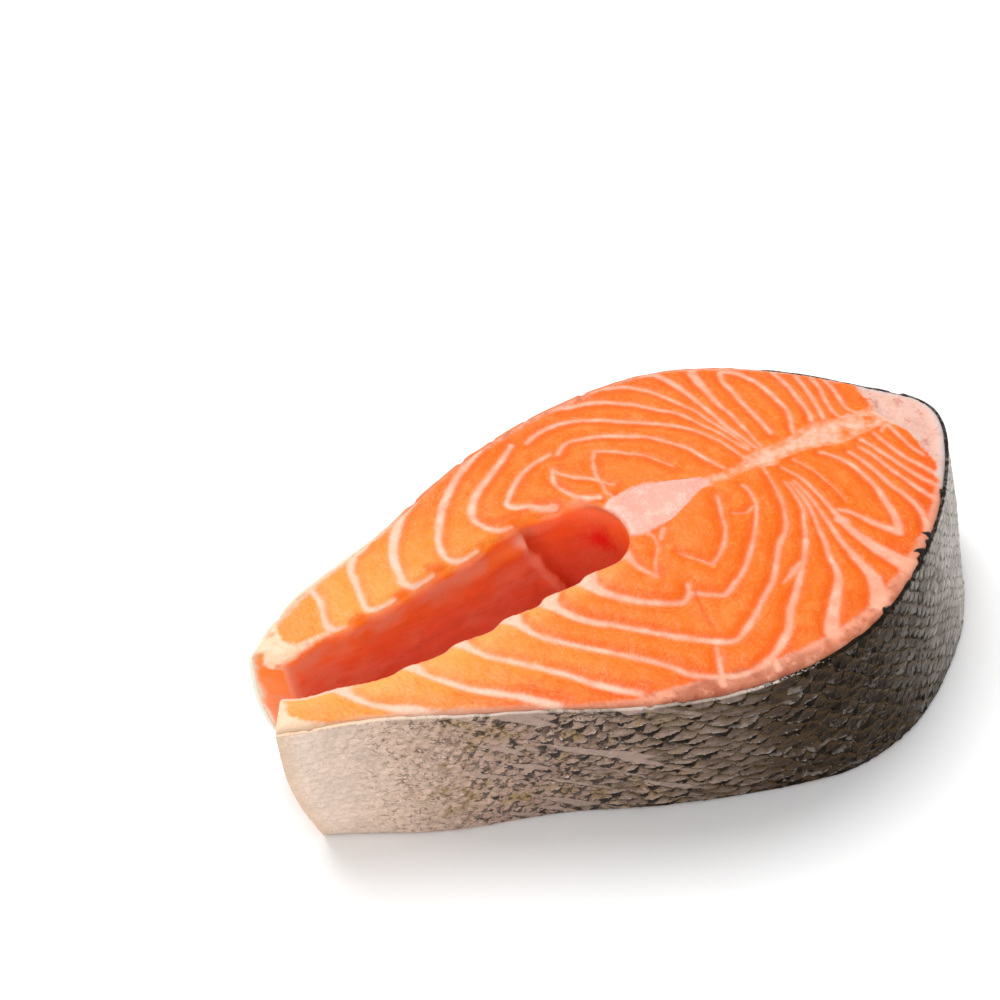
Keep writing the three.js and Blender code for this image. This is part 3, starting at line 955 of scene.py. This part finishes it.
class Paint:
    """One material, built up from attributes, noises and colours."""

    def __init__(self, name):
        self.material = bpy.data.materials.new(name)
        self.material.use_nodes = True
        self.tree = self.material.node_tree
        self.shader = self.tree.nodes["Principled BSDF"]
        self.place = add_node(self.tree, "ShaderNodeTexCoord").outputs["Object"]

    def value(self, name):
        node = add_node(self.tree, "ShaderNodeAttribute", attribute_name=name)
        return Wire(self.tree, node.outputs["Fac"])

    def vector(self, name, stretch=(1, 1, 1)):
        node = add_node(self.tree, "ShaderNodeAttribute", attribute_name=name)
        inputs = {0: node.outputs["Vector"], 1: stretch}
        scaled = add_node(self.tree, "ShaderNodeVectorMath", inputs, operation="MULTIPLY")
        return scaled.outputs["Vector"]

    def parts(self, vector):
        node = add_node(self.tree, "ShaderNodeSeparateXYZ", {0: vector})
        return Wire(self.tree, node.outputs[0]), Wire(self.tree, node.outputs[1])

    def across(self):
        """Place across the fish in mm, more than 0 at the far side."""
        return self.parts(self.place)[1] * (1 / MM)

    def noise(self, pitch, vector=None, detail=2.0):
        """Noise from -0.5 to 0.5. pitch is in mm, or in the vector's own units."""
        if vector is None:
            vector, pitch = self.place, pitch * MM
        inputs = {"Detail": detail, "Scale": 1 / pitch, "Vector": vector}
        node = add_node(self.tree, "ShaderNodeTexNoise", inputs)
        return (Wire(self.tree, node.outputs["Fac"]) - 0.5) * NOISE_GAIN

    def ramp(self, wire, low, high, stops):
        """Colour that follows a number through stops of (number, colour)."""
        node = add_node(self.tree, "ShaderNodeValToRGB", {"Fac": (wire - low) / (high - low)})
        elements = node.color_ramp.elements
        while len(elements) < len(stops):
            elements.new(0.5)
        for element, (at, colour) in zip(elements, stops):
            element.position = (at - low) / (high - low)
            element.color = colour
        return node.outputs["Color"]

    def mix(self, under, over, share):
        inputs = {0: share, 6: under, 7: over}
        node = add_node(
            self.tree, "ShaderNodeMix", data_type="RGBA", clamp_factor=True, inputs=inputs
        )
        return node.outputs[2]

    def coat(self, under, over, share):
        return Coat(self, self.mix(under, over, share))

    def finish(self, colour, roughness, height, depth, **settings):
        """Wires the colour, the roughness and a bump of the given depth in mm."""
        inputs = {"Distance": depth * MM, "Height": height}
        bumps = add_node(self.tree, "ShaderNodeBump", inputs)
        colour = getattr(colour, "socket", colour)
        for socket, key in (
            (colour, "Base Color"),
            (roughness.socket, "Roughness"),
            (bumps.outputs["Normal"], "Normal"),
        ):
            self.tree.links.new(socket, self.shader.inputs[key])
        for key, value in settings.items():
            self.shader.inputs[key.replace("_", " ")].default_value = value
        return self.material


BELLY_ORANGE = rgb(250, 161, 62)
BELLY_PALE = rgb(250, 167, 84)
BACK_ORANGE = rgb(247, 114, 12)
PALE_ORANGE = rgb(248, 142, 62)
DEEP_ORANGE = rgb(238, 86, 0)
SHADE_ORANGE = rgb(246, 98, 0)
RIM_YELLOW = rgb(252, 188, 106)
FAT = rgb(250, 203, 176)
FAT_ROSY = rgb(248, 173, 142)
SEPTUM_PEACH = rgb(250, 150, 98)
SEPTUM_PALE = rgb(252, 202, 178)
PAD_PINK = rgb(242, 198, 182)
PAD_RED = rgb(214, 142, 124)
PAD_GREY = rgb(204, 204, 208)
VEIL = rgb(200, 122, 92)
ROSE = rgb(176, 92, 66)
TIP_CREAM = rgb(253, 218, 184)
TIP_ORANGE = gap_rgb(255, 130, 24)
LINING_RIM = gap_rgb(255, 126, 20)
LINING_TOP = gap_rgb(250, 112, 44)
LINING_LOW = gap_rgb(238, 108, 66)
LINING_PINK = gap_rgb(240, 150, 120)
LINING_DARK = gap_rgb(206, 66, 34)
HEM_AND_HIGHLIGHT = gap_rgb(255, 182, 154)
BLOOD = gap_rgb(250, 14, 0)
TORN = rgb(30, 24, 20)
BONE_PINK = rgb(250, 178, 160)
BONE_CREAM = rgb(252, 206, 188)
BONE_RED = rgb(206, 110, 88)


def muscle(m):
    """Orange of the flakes, from the pale belly to the deep back."""
    colour = m.coat(BELLY_ORANGE, BACK_ORANGE, (m.back + m.broad * 20).step(-56, -2))
    colour.lay(m.pale, (m.noise(3.4) + m.fine * 0.5).step(-0.05, 0.45, 0, 0.75))
    by_rim = (m.from_rim + m.mid * 3).fall(0.5, 6) * m.back.step(-10, 2, 0.6, 0)
    by_rim = by_rim * m.deep.fall(0, 0.5) * m.side.step(2, 6, 1, 0.3)
    colour.lay(RIM_YELLOW, by_rim)
    far_flap = m.back.fall(-66, -56) * m.side.step(4, 8)
    colour.lay(BACK_ORANGE, far_flap * 0.3)
    near = m.side.step(0, 16, 1, 0.4)
    outer = (m.from_skin + m.mid * 5 + m.broad * 3).fall(1, 10) * near
    colour.lay(DEEP_ORANGE, outer * m.back.step(-64, -30, 0.15, 0.8))
    fibre = m.noise(1, m.vector("grain", (0.6, 2.2, 1)), detail=3)
    patch = m.noise(6).step(-0.25, 0.25, 0.4, 1.1) * m.back.step(-60, -10, 0.55, 1)
    streak = (fibre + m.fine * 0.5).step(0.05, 0.3) * patch
    colour.lay(DEEP_ORANGE, streak * (outer * 0.5 + 0.5))
    colour.lay(m.pale, (fibre - m.fine * 0.5).step(-0.06, -0.36, 0, 0.65))
    fleck = (m.noise(1, m.vector("grain", (1.1, 4.5, 1)), detail=2) + m.mid * 0.3).step(0.2, 0.4)
    colour.lay(DEEP_ORANGE, fleck * patch * m.back.step(-60, -20, 0.35, 0.7))
    colour.light(m.noise(0.5) * 0.18 + m.noise(1.3, detail=3) * 0.08 + 1)
    return colour


def lay_fat(m, colour):
    """The pale and rosy tissue under the skin, and the fat lines that run into it."""
    band = (m.value("band") + m.wander * 2).fall(-0.6, 0.7)
    veiled = (m.noise(2.2) - m.from_skin * 0.1).step(-0.5, 0.25)
    veiled = veiled * m.back.step(-40, -12, 0.25, 1) * m.back.step(34, 46, 1, 0.3)
    belly_fat = m.mix(FAT, FAT_ROSY, m.back.step(-60, -36))
    colour.lay(m.mix(belly_fat, VEIL, veiled), band * 0.85)
    rose = (m.value("rose") + m.wander * 2.5).fall(-1.6, 1)
    rose_tone = m.coat(VEIL, ROSE, (m.noise(4) * 1.5 + m.mid).step(-0.25, 0.3))
    rose_tone.lay(FAT_ROSY, (m.noise(3) + m.fine * 0.4).step(0.1, 0.4, 0, 0.7))
    colour.lay(rose_tone, rose * 0.8)
    inner_shade = m.value("inner_shade") + m.wander
    outside = 1 - band.most(rose)
    cloudy = (m.noise(5) + 0.5).step(0, 0.6, 0.5, 1)
    interior = (m.fat + m.broad * 3).step(0.8, 3.4, 0, 0.42) * cloudy
    colour.lay(m.pale, interior * outside * m.back.step(-60, -10, 0.5, 1))
    # Painted shade: deeper orange along the inner side of each fat line.
    inner_shade = (inner_shade + m.broad * 1.5).step(0.4, 2.4, 0.85, 0) * m.back.step(-50, -16, 0.45, 1)
    colour.lay(SHADE_ORANGE, inner_shade * (m.mid + 0.7) * outside)
    # Painted shade: deeper orange where flakes fold over at the far rim.
    fold_shade = (m.value("fold_shade") + m.wander * 1.5).fall(-0.8, 1.2)
    colour.lay(SHADE_ORANGE, fold_shade * 0.8)
    rosy = (m.noise(4) + m.back.step(-50, 0, -0.35, 0.25)).step(-0.2, 0.4)
    fat_tone = m.mix(FAT, FAT_ROSY, rosy)
    colour.lay(fat_tone, m.fat.step(-0.2, 0.9, 0.12, 0))
    colour.lay(fat_tone, m.line * (m.noise(3.6) + m.fine * 0.4).step(-0.4, 0.1, 0.72, 1))


def lay_other_tissue(m, colour):
    """Septum, pad, vertebra and what else lies on the cut face, its pale near rim, and painted
    light where the rim turns down.
    """
    # Painted shade: deeper orange in the cracks of a flake.
    crack = (m.value("crack") + m.wander).fall(0.1, 0.7)
    colour.lay(DEEP_ORANGE, crack * 0.55)
    septum = (m.value("septum") + m.wander * 2).fall(-0.6, 0.6)
    core = m.value("septum").fall(-1.9, -0.7) * 0.5 + (m.noise(1.7) + 0.1).step(-0.1, 0.3, 0, 0.5)
    colour.lay(m.mix(SEPTUM_PEACH, SEPTUM_PALE, core), septum * 0.9)
    cream = (m.value("cream") + m.wander * 2.5).fall(-0.6, 0.5)
    colour.lay(m.mix(TIP_CREAM, FAT_ROSY, m.noise(3).step(0.05, 0.5)), cream * 0.95)
    pad = (m.value("pad") + m.wander * 2.5).fall(-0.5, 0.6)
    pad_tone = m.coat(PAD_PINK, PAD_RED, (m.noise(3.2) + m.fine * 0.5).step(0, 0.45, 0, 0.75))
    capillary = abs(m.noise(3.4, detail=3)).fall(0, 0.18) * m.noise(5).step(-0.1, 0.25)
    pad_tone.lay(PAD_RED, capillary * 0.35)
    pad_tone.lay(PAD_GREY, (m.from_skin + m.mid * 1.2).step(0.3, 1.9, 0.6, 0))
    colour.lay(pad_tone, pad * 0.95)
    bone = (m.value("vertebra") + m.wander * 2).fall(-0.4, 0.7)
    colour.lay(bone_colour(m), bone)
    colour.lay(TORN, (m.value("torn") + m.fine * 0.4).fall(-0.2, 0.15))
    near_rim = m.side.fall(1, 3)
    thin, wide = m.from_rim.fall(0.3, 0.8), m.from_rim.fall(1, 1.5)
    colour.lay(FAT, near_rim * thin * m.back.step(-8, 0, 0.6, 0))
    colour.lay(FAT, near_rim * wide * m.back.step(-67, -60, 0.9, 0))
    # Painted light: brighter where the rounded rim turns down towards the walls, against their
    # shade.
    colour.light(m.deep.step(0.3, 1.8, 1, 1.3))


def gap_lining(m):
    """Lining of the belly gap, pinker and darker with depth. Painted light brightens it under the
    rim and high in the closed end, pink patches and a lobe's pale hem are partly painted highlight,
    and painted shade darkens the hollow behind the lobe.
    """
    lobe = m.value("lobe")
    lining = m.coat(LINING_TOP, LINING_LOW, (m.deep + m.broad * 8).step(4, 15))
    lining.light(m.smear * 0.22 + m.mid * 0.1 + 1)
    # Pink patches, mostly on the lobe: partly the lining's own tone, partly painted highlight.
    pink = (m.noise(8) + m.smear * 0.4 + m.back.step(-70, -48, 0.25, 0)).step(-0.1, 0.4, 0, 0.6)
    lining.lay(LINING_PINK, pink * lobe.step(0, 2, 0.2, 1))
    # A pink band a little under the rim: partly the lining's own tone, partly painted highlight.
    under_rim = (m.deep + m.mid * 2).step(1.4, 2.8) * (m.deep + m.mid * 3).fall(3.4, 6.5)
    under_rim = under_rim * m.back.step(-18, -8, 1, 0.3)
    lining.lay(LINING_PINK, under_rim * m.noise(8).step(-0.25, 0.25, 0.1, 0.8))
    under_fat = m.plain_fat.fall(0.2, 1.8) * m.back.fall(-8, -2)
    rim_share = (m.deep + m.mid).fall(1.2, 2.8) * m.noise(5).step(-0.25, 0.15, 0.5, 1)
    lining.lay(m.mix(LINING_RIM, FAT_ROSY, under_fat * 0.55), rim_share)
    # Painted light: brighter just under the rim, and high in the closed end.
    lining.light(m.deep.step(1, 4.5, 1.2, 1))
    lining.light(m.deep.step(1, 14, 0.34, 0.08) * m.back.step(-16, -6) + 1)
    # Painted shade in the hollow behind the lobe.
    recess_shade = lobe.step(-5, -0.6) * lobe.fall(-0.5, 0.1) * m.deep.step(1.5, 5)
    lining.lay(LINING_DARK, recess_shade * 0.6)
    # A pale hem along the lobe's edge: partly the tissue's own, partly a painted highlight.
    hem_and_highlight = (lobe + m.mid).step(-0.5, 0.4) * (lobe + m.mid * 2).fall(0.6, 3.2)
    lining.lay(HEM_AND_HIGHLIGHT, hem_and_highlight * m.deep.step(1, 4) * 0.6)
    lining.lay(BLOOD, (m.value("blood") + m.mid * 3).step(0.5, 5.5, 0.95, 0))
    return lining


def flap_end(m):
    """The cut end of a belly flap, crossed by fat lines on the near one."""
    end_tone = m.coat(TIP_ORANGE, LINING_PINK, (m.smear + m.mid * 0.6).step(0, 0.45, 0, 0.5))
    end_tone.lay(LINING_PINK, m.deep.step(6, 24, 0, 0.55))
    end_line = abs((m.deep * 0.17 - m.from_skin * 0.11 + m.wander * 0.2).fraction() - 0.5)
    end_line = end_line.fall(0.03, 0.13) * m.side.fall(0, 2)
    end_tone.lay(FAT_ROSY, end_line * (m.mid + 0.7))
    end_tone.lay(TIP_CREAM, (m.from_skin + m.mid * 2).step(0.2, 1.9, 0.8, 0))
    return end_tone


def lay_walls(m, colour):
    """The gap's lining and the flaps' ends. Gives how much of a place is lining."""
    on_wall = (m.deep + m.mid * 0.7 - m.line * 0.5).step(0.6, 1.7) * m.from_rim.fall(2.4, 3.6)
    tip_end = m.back.fall(-72.4, -71)
    colour.lay(gap_lining(m), on_wall * (1 - tip_end))
    # Painted light: pink on the steep rim near the closed end, which the lamps leave in shade.
    lit_lip = m.deep.step(0.1, 0.6) * m.deep.fall(1.2, 3) * m.back.step(-8, -2)
    colour.lay(LINING_PINK, lit_lip * m.from_rim.fall(1.2, 2.4) * 0.6)
    at_end = (m.deep + m.mid * 2.5).step(1.2, 2.2) * tip_end
    colour.lay(flap_end(m), at_end)
    corner = m.back.step(-72.2, -71.2) * m.back.fall(-70.6, -69.6) * m.deep.step(1, 2.5)
    colour.lay(LINING_PINK, corner * m.from_rim.fall(0.6, 1.4) * 0.8)
    return on_wall


def flesh_material():
    m = Paint("salmon_flesh")
    m.broad, m.mid, m.fine = m.noise(9), m.noise(2.6), m.noise(0.8, detail=3)
    m.wander = m.mid * 0.4 + m.fine * 0.3
    m.back, m.side = m.value("backness"), m.across()
    m.from_skin, m.from_rim, m.deep = (m.value(k) for k in ("from_skin", "from_rim", "deep"))
    m.plain_fat = m.value("fat") + m.wander
    m.fat = m.plain_fat + m.deep.step(0.7, 2.4, 0, 4)
    m.line = m.fat.fall(-0.75, 0.3)
    m.pale = m.mix(BELLY_PALE, PALE_ORANGE, (m.back + m.broad * 10).step(-56, -16))
    smear = m.noise(1, m.vector("sheet", (0.07, 0.4, 1)), detail=2)
    m.smear = smear * m.back.step(-16, -6, 1, 0.45)

    colour = muscle(m)
    lay_fat(m, colour)
    lay_other_tissue(m, colour)
    on_wall = lay_walls(m, colour)
    height = (m.fine * 0.6 + m.mid * 0.4) * (1 - on_wall * 0.8)
    roughness = (m.mid + m.fine).step(-0.6, 0.6, 0.24, 0.46)
    return m.finish(
        colour, roughness, height, 0.17,
        Subsurface_Weight=0.2, Subsurface_Scale=0.6 * MM, Subsurface_Radius=(1, 0.4, 0.2),
        Specular_IOR_Level=0.2,
    )


def bone_colour(m):
    """Mottled pink and cream of the cut vertebra."""
    blotch = m.noise(3.4, detail=3)
    grain = m.noise(0.9, detail=3)
    colour = m.mix(BONE_PINK, BONE_CREAM, (blotch + grain * 0.4).step(-0.1, 0.45))
    return m.mix(colour, BONE_RED, (m.noise(2.1) - grain * 0.5).step(0.34, 0.7, 0, 0.5))


def bone_material():
    m = Paint("salmon_bone")
    mid, fine = m.noise(2.2), m.noise(0.6, detail=3)
    return m.finish(
        bone_colour(m), (mid + fine).step(-0.6, 0.6, 0.3, 0.5), mid * 0.5 + fine, 0.2,
        Subsurface_Weight=0.2, Subsurface_Scale=0.8 * MM, Subsurface_Radius=(1, 0.5, 0.35),
        Specular_IOR_Level=0.25,
    )


# Colour of a scale's body by place along the fish's x, from the flaps' tips to the back. From x 38
# on the tones grow lighter: painted sheen of the wet skin.
SKIN_TONES = [
    (-80, 232, 210, 194), (-64, 213, 186, 168), (-54, 190, 160, 143), (-41, 165, 139, 124),
    (-30, 148, 126, 113), (-19, 132, 113, 101), (-7, 112, 96, 86), (4, 68, 56, 48),
    (16, 46, 38, 32), (27, 47, 40, 35), (38, 88, 82, 78), (54, 154, 146, 139),
    (66, 186, 178, 171),
]
OLIVE = side_rgb(88, 68, 42)
SMUDGE = side_rgb(158, 130, 78)
CREASE = side_rgb(96, 70, 52)
GLINT_SPECK = side_rgb(232, 220, 212)
BROWN = side_rgb(38, 27, 18)
SCALE_DARK = side_rgb(10, 5, 2)
FLECK_AND_SHADE = side_rgb(50, 45, 44)
SCALE_PALE = side_rgb(206, 198, 192)
SLIME = side_rgb(164, 142, 131)
STROKE = side_rgb(128, 120, 113)
BROW_PALE = side_rgb(204, 188, 176)
BROW_DARK = side_rgb(22, 17, 14)
# Brighter cream for the far flap's skin end: painted light, as that end faces away from the lamps.
LIT_SKIN_END = side_rgb(252, 232, 216)
OVERHUNG = rgb(244, 142, 96)  # thin rim of the skin where the flesh bulges over it
LOT_ROW, LOT_COLUMN, LOT_SPREAD = 12.9898, 78.233, 137.0  # uneven enough to scatter a sine


def scale_lot(row, column):
    """A number from 0 to 1 that is each scale's own."""
    return ((row * LOT_ROW + column * LOT_COLUMN).sine() * LOT_SPREAD).fraction()


def scale_bodies(m):
    """Tone of the scales by place, each a little its own, with a painted highlight above each free
    edge, and darker where the next covers it: partly olive pigment, partly painted shade.
    """
    colour = Coat(m, m.ramp(m.back, -80, 66, [(x, side_rgb(*tone)) for x, *tone in SKIN_TONES]))
    fibre = m.noise(1, m.vector("plain", (0.35, 2.4, 1)), detail=3)
    crumple = m.noise(1.5, detail=4) * m.back.step(-76, -54, 0.15, 0.8)
    # Painted highlight: a lighter band just above each scale's free edge.
    lit_lip = m.edge.step(0, 0.5) * m.edge.fall(0.5, 1.3) * m.scaly
    shade = (m.lot - 0.5) * (m.scaly * 0.5 + 0.1) + fibre * (m.scaly * 0.8 + 0.15) + m.broad * 0.3
    shade = shade * (1 - m.rear * 0.5)
    colour.light(shade + crumple + lit_lip * 0.25 + m.fine * 0.25 + 1)
    smudge = (m.noise(5, detail=3) + m.ragged * 0.4).step(0, 0.3) * m.back.step(-66, -54)
    colour.lay(SMUDGE, smudge * m.back.step(-24, -6, 0.75, 0) * m.bare)
    # Painted shade where the next scale covers this one: olive over the covered part, partly its
    # own pigment, and brown right under the covering edge.
    hidden = m.back.step(-50, -12, 0.1, 0.95) * (1 - m.rear * 0.93)
    covered = m.cover.fall(0, 2) * (m.clear * 0.4 + 0.6)
    colour.lay(OLIVE, covered * hidden * m.bare)
    tucked = m.cover.fall(0, 1.1) * (m.cover_lot * 0.6 + 0.5) * m.clear
    colour.lay(BROWN, tucked * hidden * m.bare)
    return colour


def lay_belly_creases(m, colour):
    """Thin brown creases over the belly's small scales, painted shade in the crumpled skin, and
    bright specks of painted glint.
    """
    belly = m.back.step(-76, -60) * m.back.fall(-30, -8)
    # Painted shade in the creases of the crumpled skin.
    crease = abs(m.noise(2.4, m.vector("plain", (1, 1.5, 1)), detail=3) + m.fine * 0.1)
    crease = crease.fall(0.01, 0.09) * (m.mid + m.ragged).step(-0.2, 0.25)
    colour.lay(CREASE, crease * belly * m.bare * 0.75)
    # Painted glints: bright specks.
    glint_specks = (m.ragged + m.fine * 0.8).step(0.24, 0.5) * belly
    colour.lay(GLINT_SPECK, glint_specks * 0.6)


def lay_scale_edges(m, colour):
    """Black crescents where one scale shades the next, under its tip's half, glints on the
    free edges, and the slime over the belly's scales. Gives where the crescents are.
    """
    thick = m.along.step(0.2, 0.55) * m.along.step(0.7, 1, 1.2, 0.2)
    thick = thick * (m.cover_lot + m.mid * 1.4).step(0, 0.9, 0.15, 1.3)
    thick = thick + m.back.step(-4, 20, 0.1, 0.4)
    thick = thick * m.back.step(-40, -16, 1.35, 1)
    wedge = (thick - m.cover + m.ragged * 0.5 + m.fine * 0.3 + m.mid * 0.2).step(-0.15, 0.4)
    wedge = wedge * m.back.step(-64, -50) * m.bare * (m.clear * 0.5 + 0.5) * (1 - m.rear * 0.85)
    # Painted shade of the crescents, which over the belly are partly the skin's own dark flecks.
    dark = m.mix(FLECK_AND_SHADE, SCALE_DARK, m.scaly)
    colour.lay(dark, wedge * m.back.step(-60, -36, 0.45, 0.95))
    glint = m.edge.step(0.02, 0.12) * m.edge.fall(0.25, 0.55)
    glint = glint * (m.ragged + m.fine + m.lot * 0.3).step(0.25, 0.5) * m.back.step(0, 30, 0.4, 0.1)
    colour.lay(SCALE_PALE, glint * m.back.step(-66, -40, 0.2, 1))
    # Painted highlight on the bodies of a few scales.
    highlight = m.edge.step(0.1, 0.5) * m.edge.fall(0.8, 1.6) * m.along.step(0.1, 0.4)
    highlight = highlight * (m.lot + m.mid * 0.6).step(0.78, 1) * m.back.step(-20, 0) * (1 - m.rear)
    colour.lay(SCALE_PALE, highlight * m.back.step(8, 30, 0.2, 0.1))
    dash = (m.along + m.edge * 0.12 + m.ragged * 0.1).step(0.36, 0.48)
    dash = dash * (m.along + m.edge * 0.12 + m.ragged * 0.1).fall(0.54, 0.68)
    dash = dash * m.edge.step(0, 0.4) * m.edge.fall(0.7, 1.7) * (m.lot + m.mid).step(0.15, 0.6)
    colour.lay(BROWN, dash * m.rear * 0.85)
    stroke = (m.noise(1, m.vector("plain", (0.45, 1.7, 1)), detail=1) + m.fine * 0.4).step(0.1, 0.4)
    colour.lay(STROKE, stroke * m.back.step(10, 34, 0, 0.55))
    colour.lay(SLIME, m.streak * 0.65)
    # Painted shade: a dark border round the slime streaks.
    streak_shade = m.slanted.step(0.02, 0.1) * m.slanted.fall(0.11, 0.15) * m.smeared
    colour.lay(FLECK_AND_SHADE, streak_shade * (m.mid + m.ragged).step(-0.1, 0.25) * 0.85)
    return wedge


def lay_skin_rims(m, colour):
    """The skin's brow and foot, and its ends at the flaps."""
    brow = m.value("inset").step(0.02, 0.15).most(m.value("below_brow").fall(0.02, 0.2))
    brow_tone = m.mix(BROW_PALE, BROW_DARK, (m.back + m.fine * 30).step(-4, 12))
    brow_tone = m.mix(TIP_CREAM, brow_tone, m.back.step(-70, -52))
    overhung = m.side.step(14, 19) * m.back.fall(50, 57)
    brow_tone = m.mix(brow_tone, m.mix(TIP_CREAM, OVERHUNG, m.back.step(-48, -26)), overhung)
    far_end = m.value("ends").fall(1, 8) * m.side.step(0, 4)
    colour.lay(TIP_CREAM, m.value("ends").step(0, 4, 0.7, 0))
    # Painted light on the far flap's skin end.
    colour.lay(LIT_SKIN_END, far_end)
    brow_share = m.back.step(-60, -36, 0.8, 0.35) + m.back.step(-16, 10, 0, 0.5)
    brow_share = brow_share.most(overhung) * (1 - far_end)
    colour.lay(brow_tone, brow * m.value("above_foot").step(1, 2) * brow_share)
    ink = (m.value("below_brow") + m.ragged * 2).fall(-0.1, 0.3) * m.back.step(12, 24, 0, 0.85)
    colour.lay(BROW_DARK, ink * (1 - overhung))
    teeth = (m.value("above_foot") + m.ragged * 3 + m.fine).fall(0.1, 0.9)
    colour.lay(SCALE_DARK, teeth * m.back.step(-50, -20, 0, 0.8))


def skin_material():
    m = Paint("salmon_skin")
    m.broad, m.mid, m.fine = m.noise(8), m.noise(2.2), m.noise(0.5, detail=3)
    m.ragged = m.noise(1.1, detail=3)
    m.back, m.side = m.value("backness") + m.broad * 10, m.across()
    m.scaly, m.rear = m.back.step(-42, -14), m.back.step(38, 56)
    frayed = m.back.step(-42, -14, 3, 0.5)
    girth, length = m.parts(m.vector("sheet"))
    m.edge, m.cover, m.along, row, column, cover_column = scale_pattern(
        girth + m.ragged * frayed, length + (m.ragged * 0.4 + m.fine * 0.25) * frayed, Wire.floor
    )
    m.lot, m.cover_lot = scale_lot(row, column), scale_lot(row + 1, cover_column)
    m.clear = (m.noise(4.5, detail=3) + m.ragged * 0.3).step(-0.3, 0.22, 0.3, 1)

    # Long smooth streaks of slime run down towards the back over the belly's scales.
    m.slanted = m.noise(1, m.vector("slant", (0.055, 0.27, 1)), detail=1) + m.mid * 0.1
    m.smeared = m.back.step(-58, -48) * m.back.fall(-22, -4)
    m.streak = m.slanted.step(0.13, 0.2) * m.smeared
    m.bare = 1 - m.streak * 0.8

    colour = scale_bodies(m)
    lay_belly_creases(m, colour)
    wedge = lay_scale_edges(m, colour)
    lay_skin_rims(m, colour)
    lifted = m.edge.step(0, 0.9, 0.8, 0) * m.scaly * (1 - m.rear * 0.8)
    height = m.fine * 0.6 + lifted - wedge * 0.5 + m.ragged * 0.8
    roughness = (m.fine + m.mid * 0.5).step(-0.5, 0.5, 0.28, 0.5)
    return m.finish(
        colour, roughness, height * m.bare, 0.3,
        Subsurface_Weight=0.05, Subsurface_Scale=0.6 * MM, Subsurface_Radius=(1, 0.6, 0.4),
        Specular_IOR_Level=0.035,
    )


# ---- Camera, floor and light ----
CAMERA_AT = (-151.05, -198.22, 282.85)  # mm
CAMERA_TO = (-0.246, 54.892, 0)
CAMERA_LENS = 63
FLOOR_REACH, FLOOR_Z = 6.0, -0.0002  # m
FLOOR_GREY = 0.93
SKY = 0.6
KEY_LIGHT = ((-0.1, 0.42, 0.85), 0.7, 8)  # place and width in m, watts
FILL_LIGHT = ((-0.45, -0.55, 0.9), 0.9, 3)


def aim(thing, target):
    to = Vector(target) - thing.location
    thing.rotation_euler = to.to_track_quat("-Z", "Y").to_euler()


def add_camera():
    data = bpy.data.cameras.new("camera")
    data.lens, data.sensor_width = CAMERA_LENS, 36
    data.clip_start, data.clip_end = 0.01, 20
    camera = add_object("camera", data)
    camera.location = Vector(CAMERA_AT) * MM
    aim(camera, Vector(CAMERA_TO) * MM)
    bpy.context.scene.camera = camera


def add_light(name, at, size, watts):
    data = bpy.data.lights.new(name, "AREA")
    data.shape, data.size = "DISK", size
    data.energy = watts
    light = add_object(name, data)
    light.location = at
    aim(light, (0, 0, 0.02))


def add_floor():
    mesh = bpy.data.meshes.new("floor")
    corners = [(-1, -1), (1, -1), (1, 1), (-1, 1)]
    places = [(x * FLOOR_REACH, y * FLOOR_REACH, FLOOR_Z) for x, y in corners]
    mesh.from_pydata(places, [], [(0, 1, 2, 3)])
    floor = add_object("floor", mesh)
    material = bpy.data.materials.new("pale_floor")
    material.use_nodes = True
    shader = material.node_tree.nodes["Principled BSDF"]
    shader.inputs["Base Color"].default_value = (FLOOR_GREY, FLOOR_GREY, FLOOR_GREY, 1)
    shader.inputs["Roughness"].default_value = 0.6
    shader.inputs["Specular IOR Level"].default_value = 0.2
    mesh.materials.append(material)


def add_world():
    world = bpy.data.worlds.new("studio")
    bpy.context.scene.world = world
    world.use_nodes = True
    inputs = world.node_tree.nodes["Background"].inputs
    inputs["Color"].default_value = (1, 1, 1, 1)
    inputs["Strength"].default_value = SKY


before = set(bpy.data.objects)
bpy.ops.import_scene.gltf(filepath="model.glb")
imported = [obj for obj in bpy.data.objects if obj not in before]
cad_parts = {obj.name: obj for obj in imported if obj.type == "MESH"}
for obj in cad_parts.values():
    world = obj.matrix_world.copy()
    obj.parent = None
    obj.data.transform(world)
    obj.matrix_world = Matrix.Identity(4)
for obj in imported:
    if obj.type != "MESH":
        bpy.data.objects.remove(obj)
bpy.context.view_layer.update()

for make, material, node, slot in (
    (make_flesh, flesh_material, "flesh", "flesh"),
    (make_skin, skin_material, "skin", "skin"),
    (make_backbone, bone_material, "backbone", "bone"),
):
    piece = make()
    piece.data.materials.append(material())
    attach(piece, "root")
    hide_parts(node)

add_camera()
add_floor()
add_world()
add_light("key", *KEY_LIGHT)
add_light("fill", *FILL_LIGHT)
bpy.context.scene.view_settings.view_transform = "Standard"
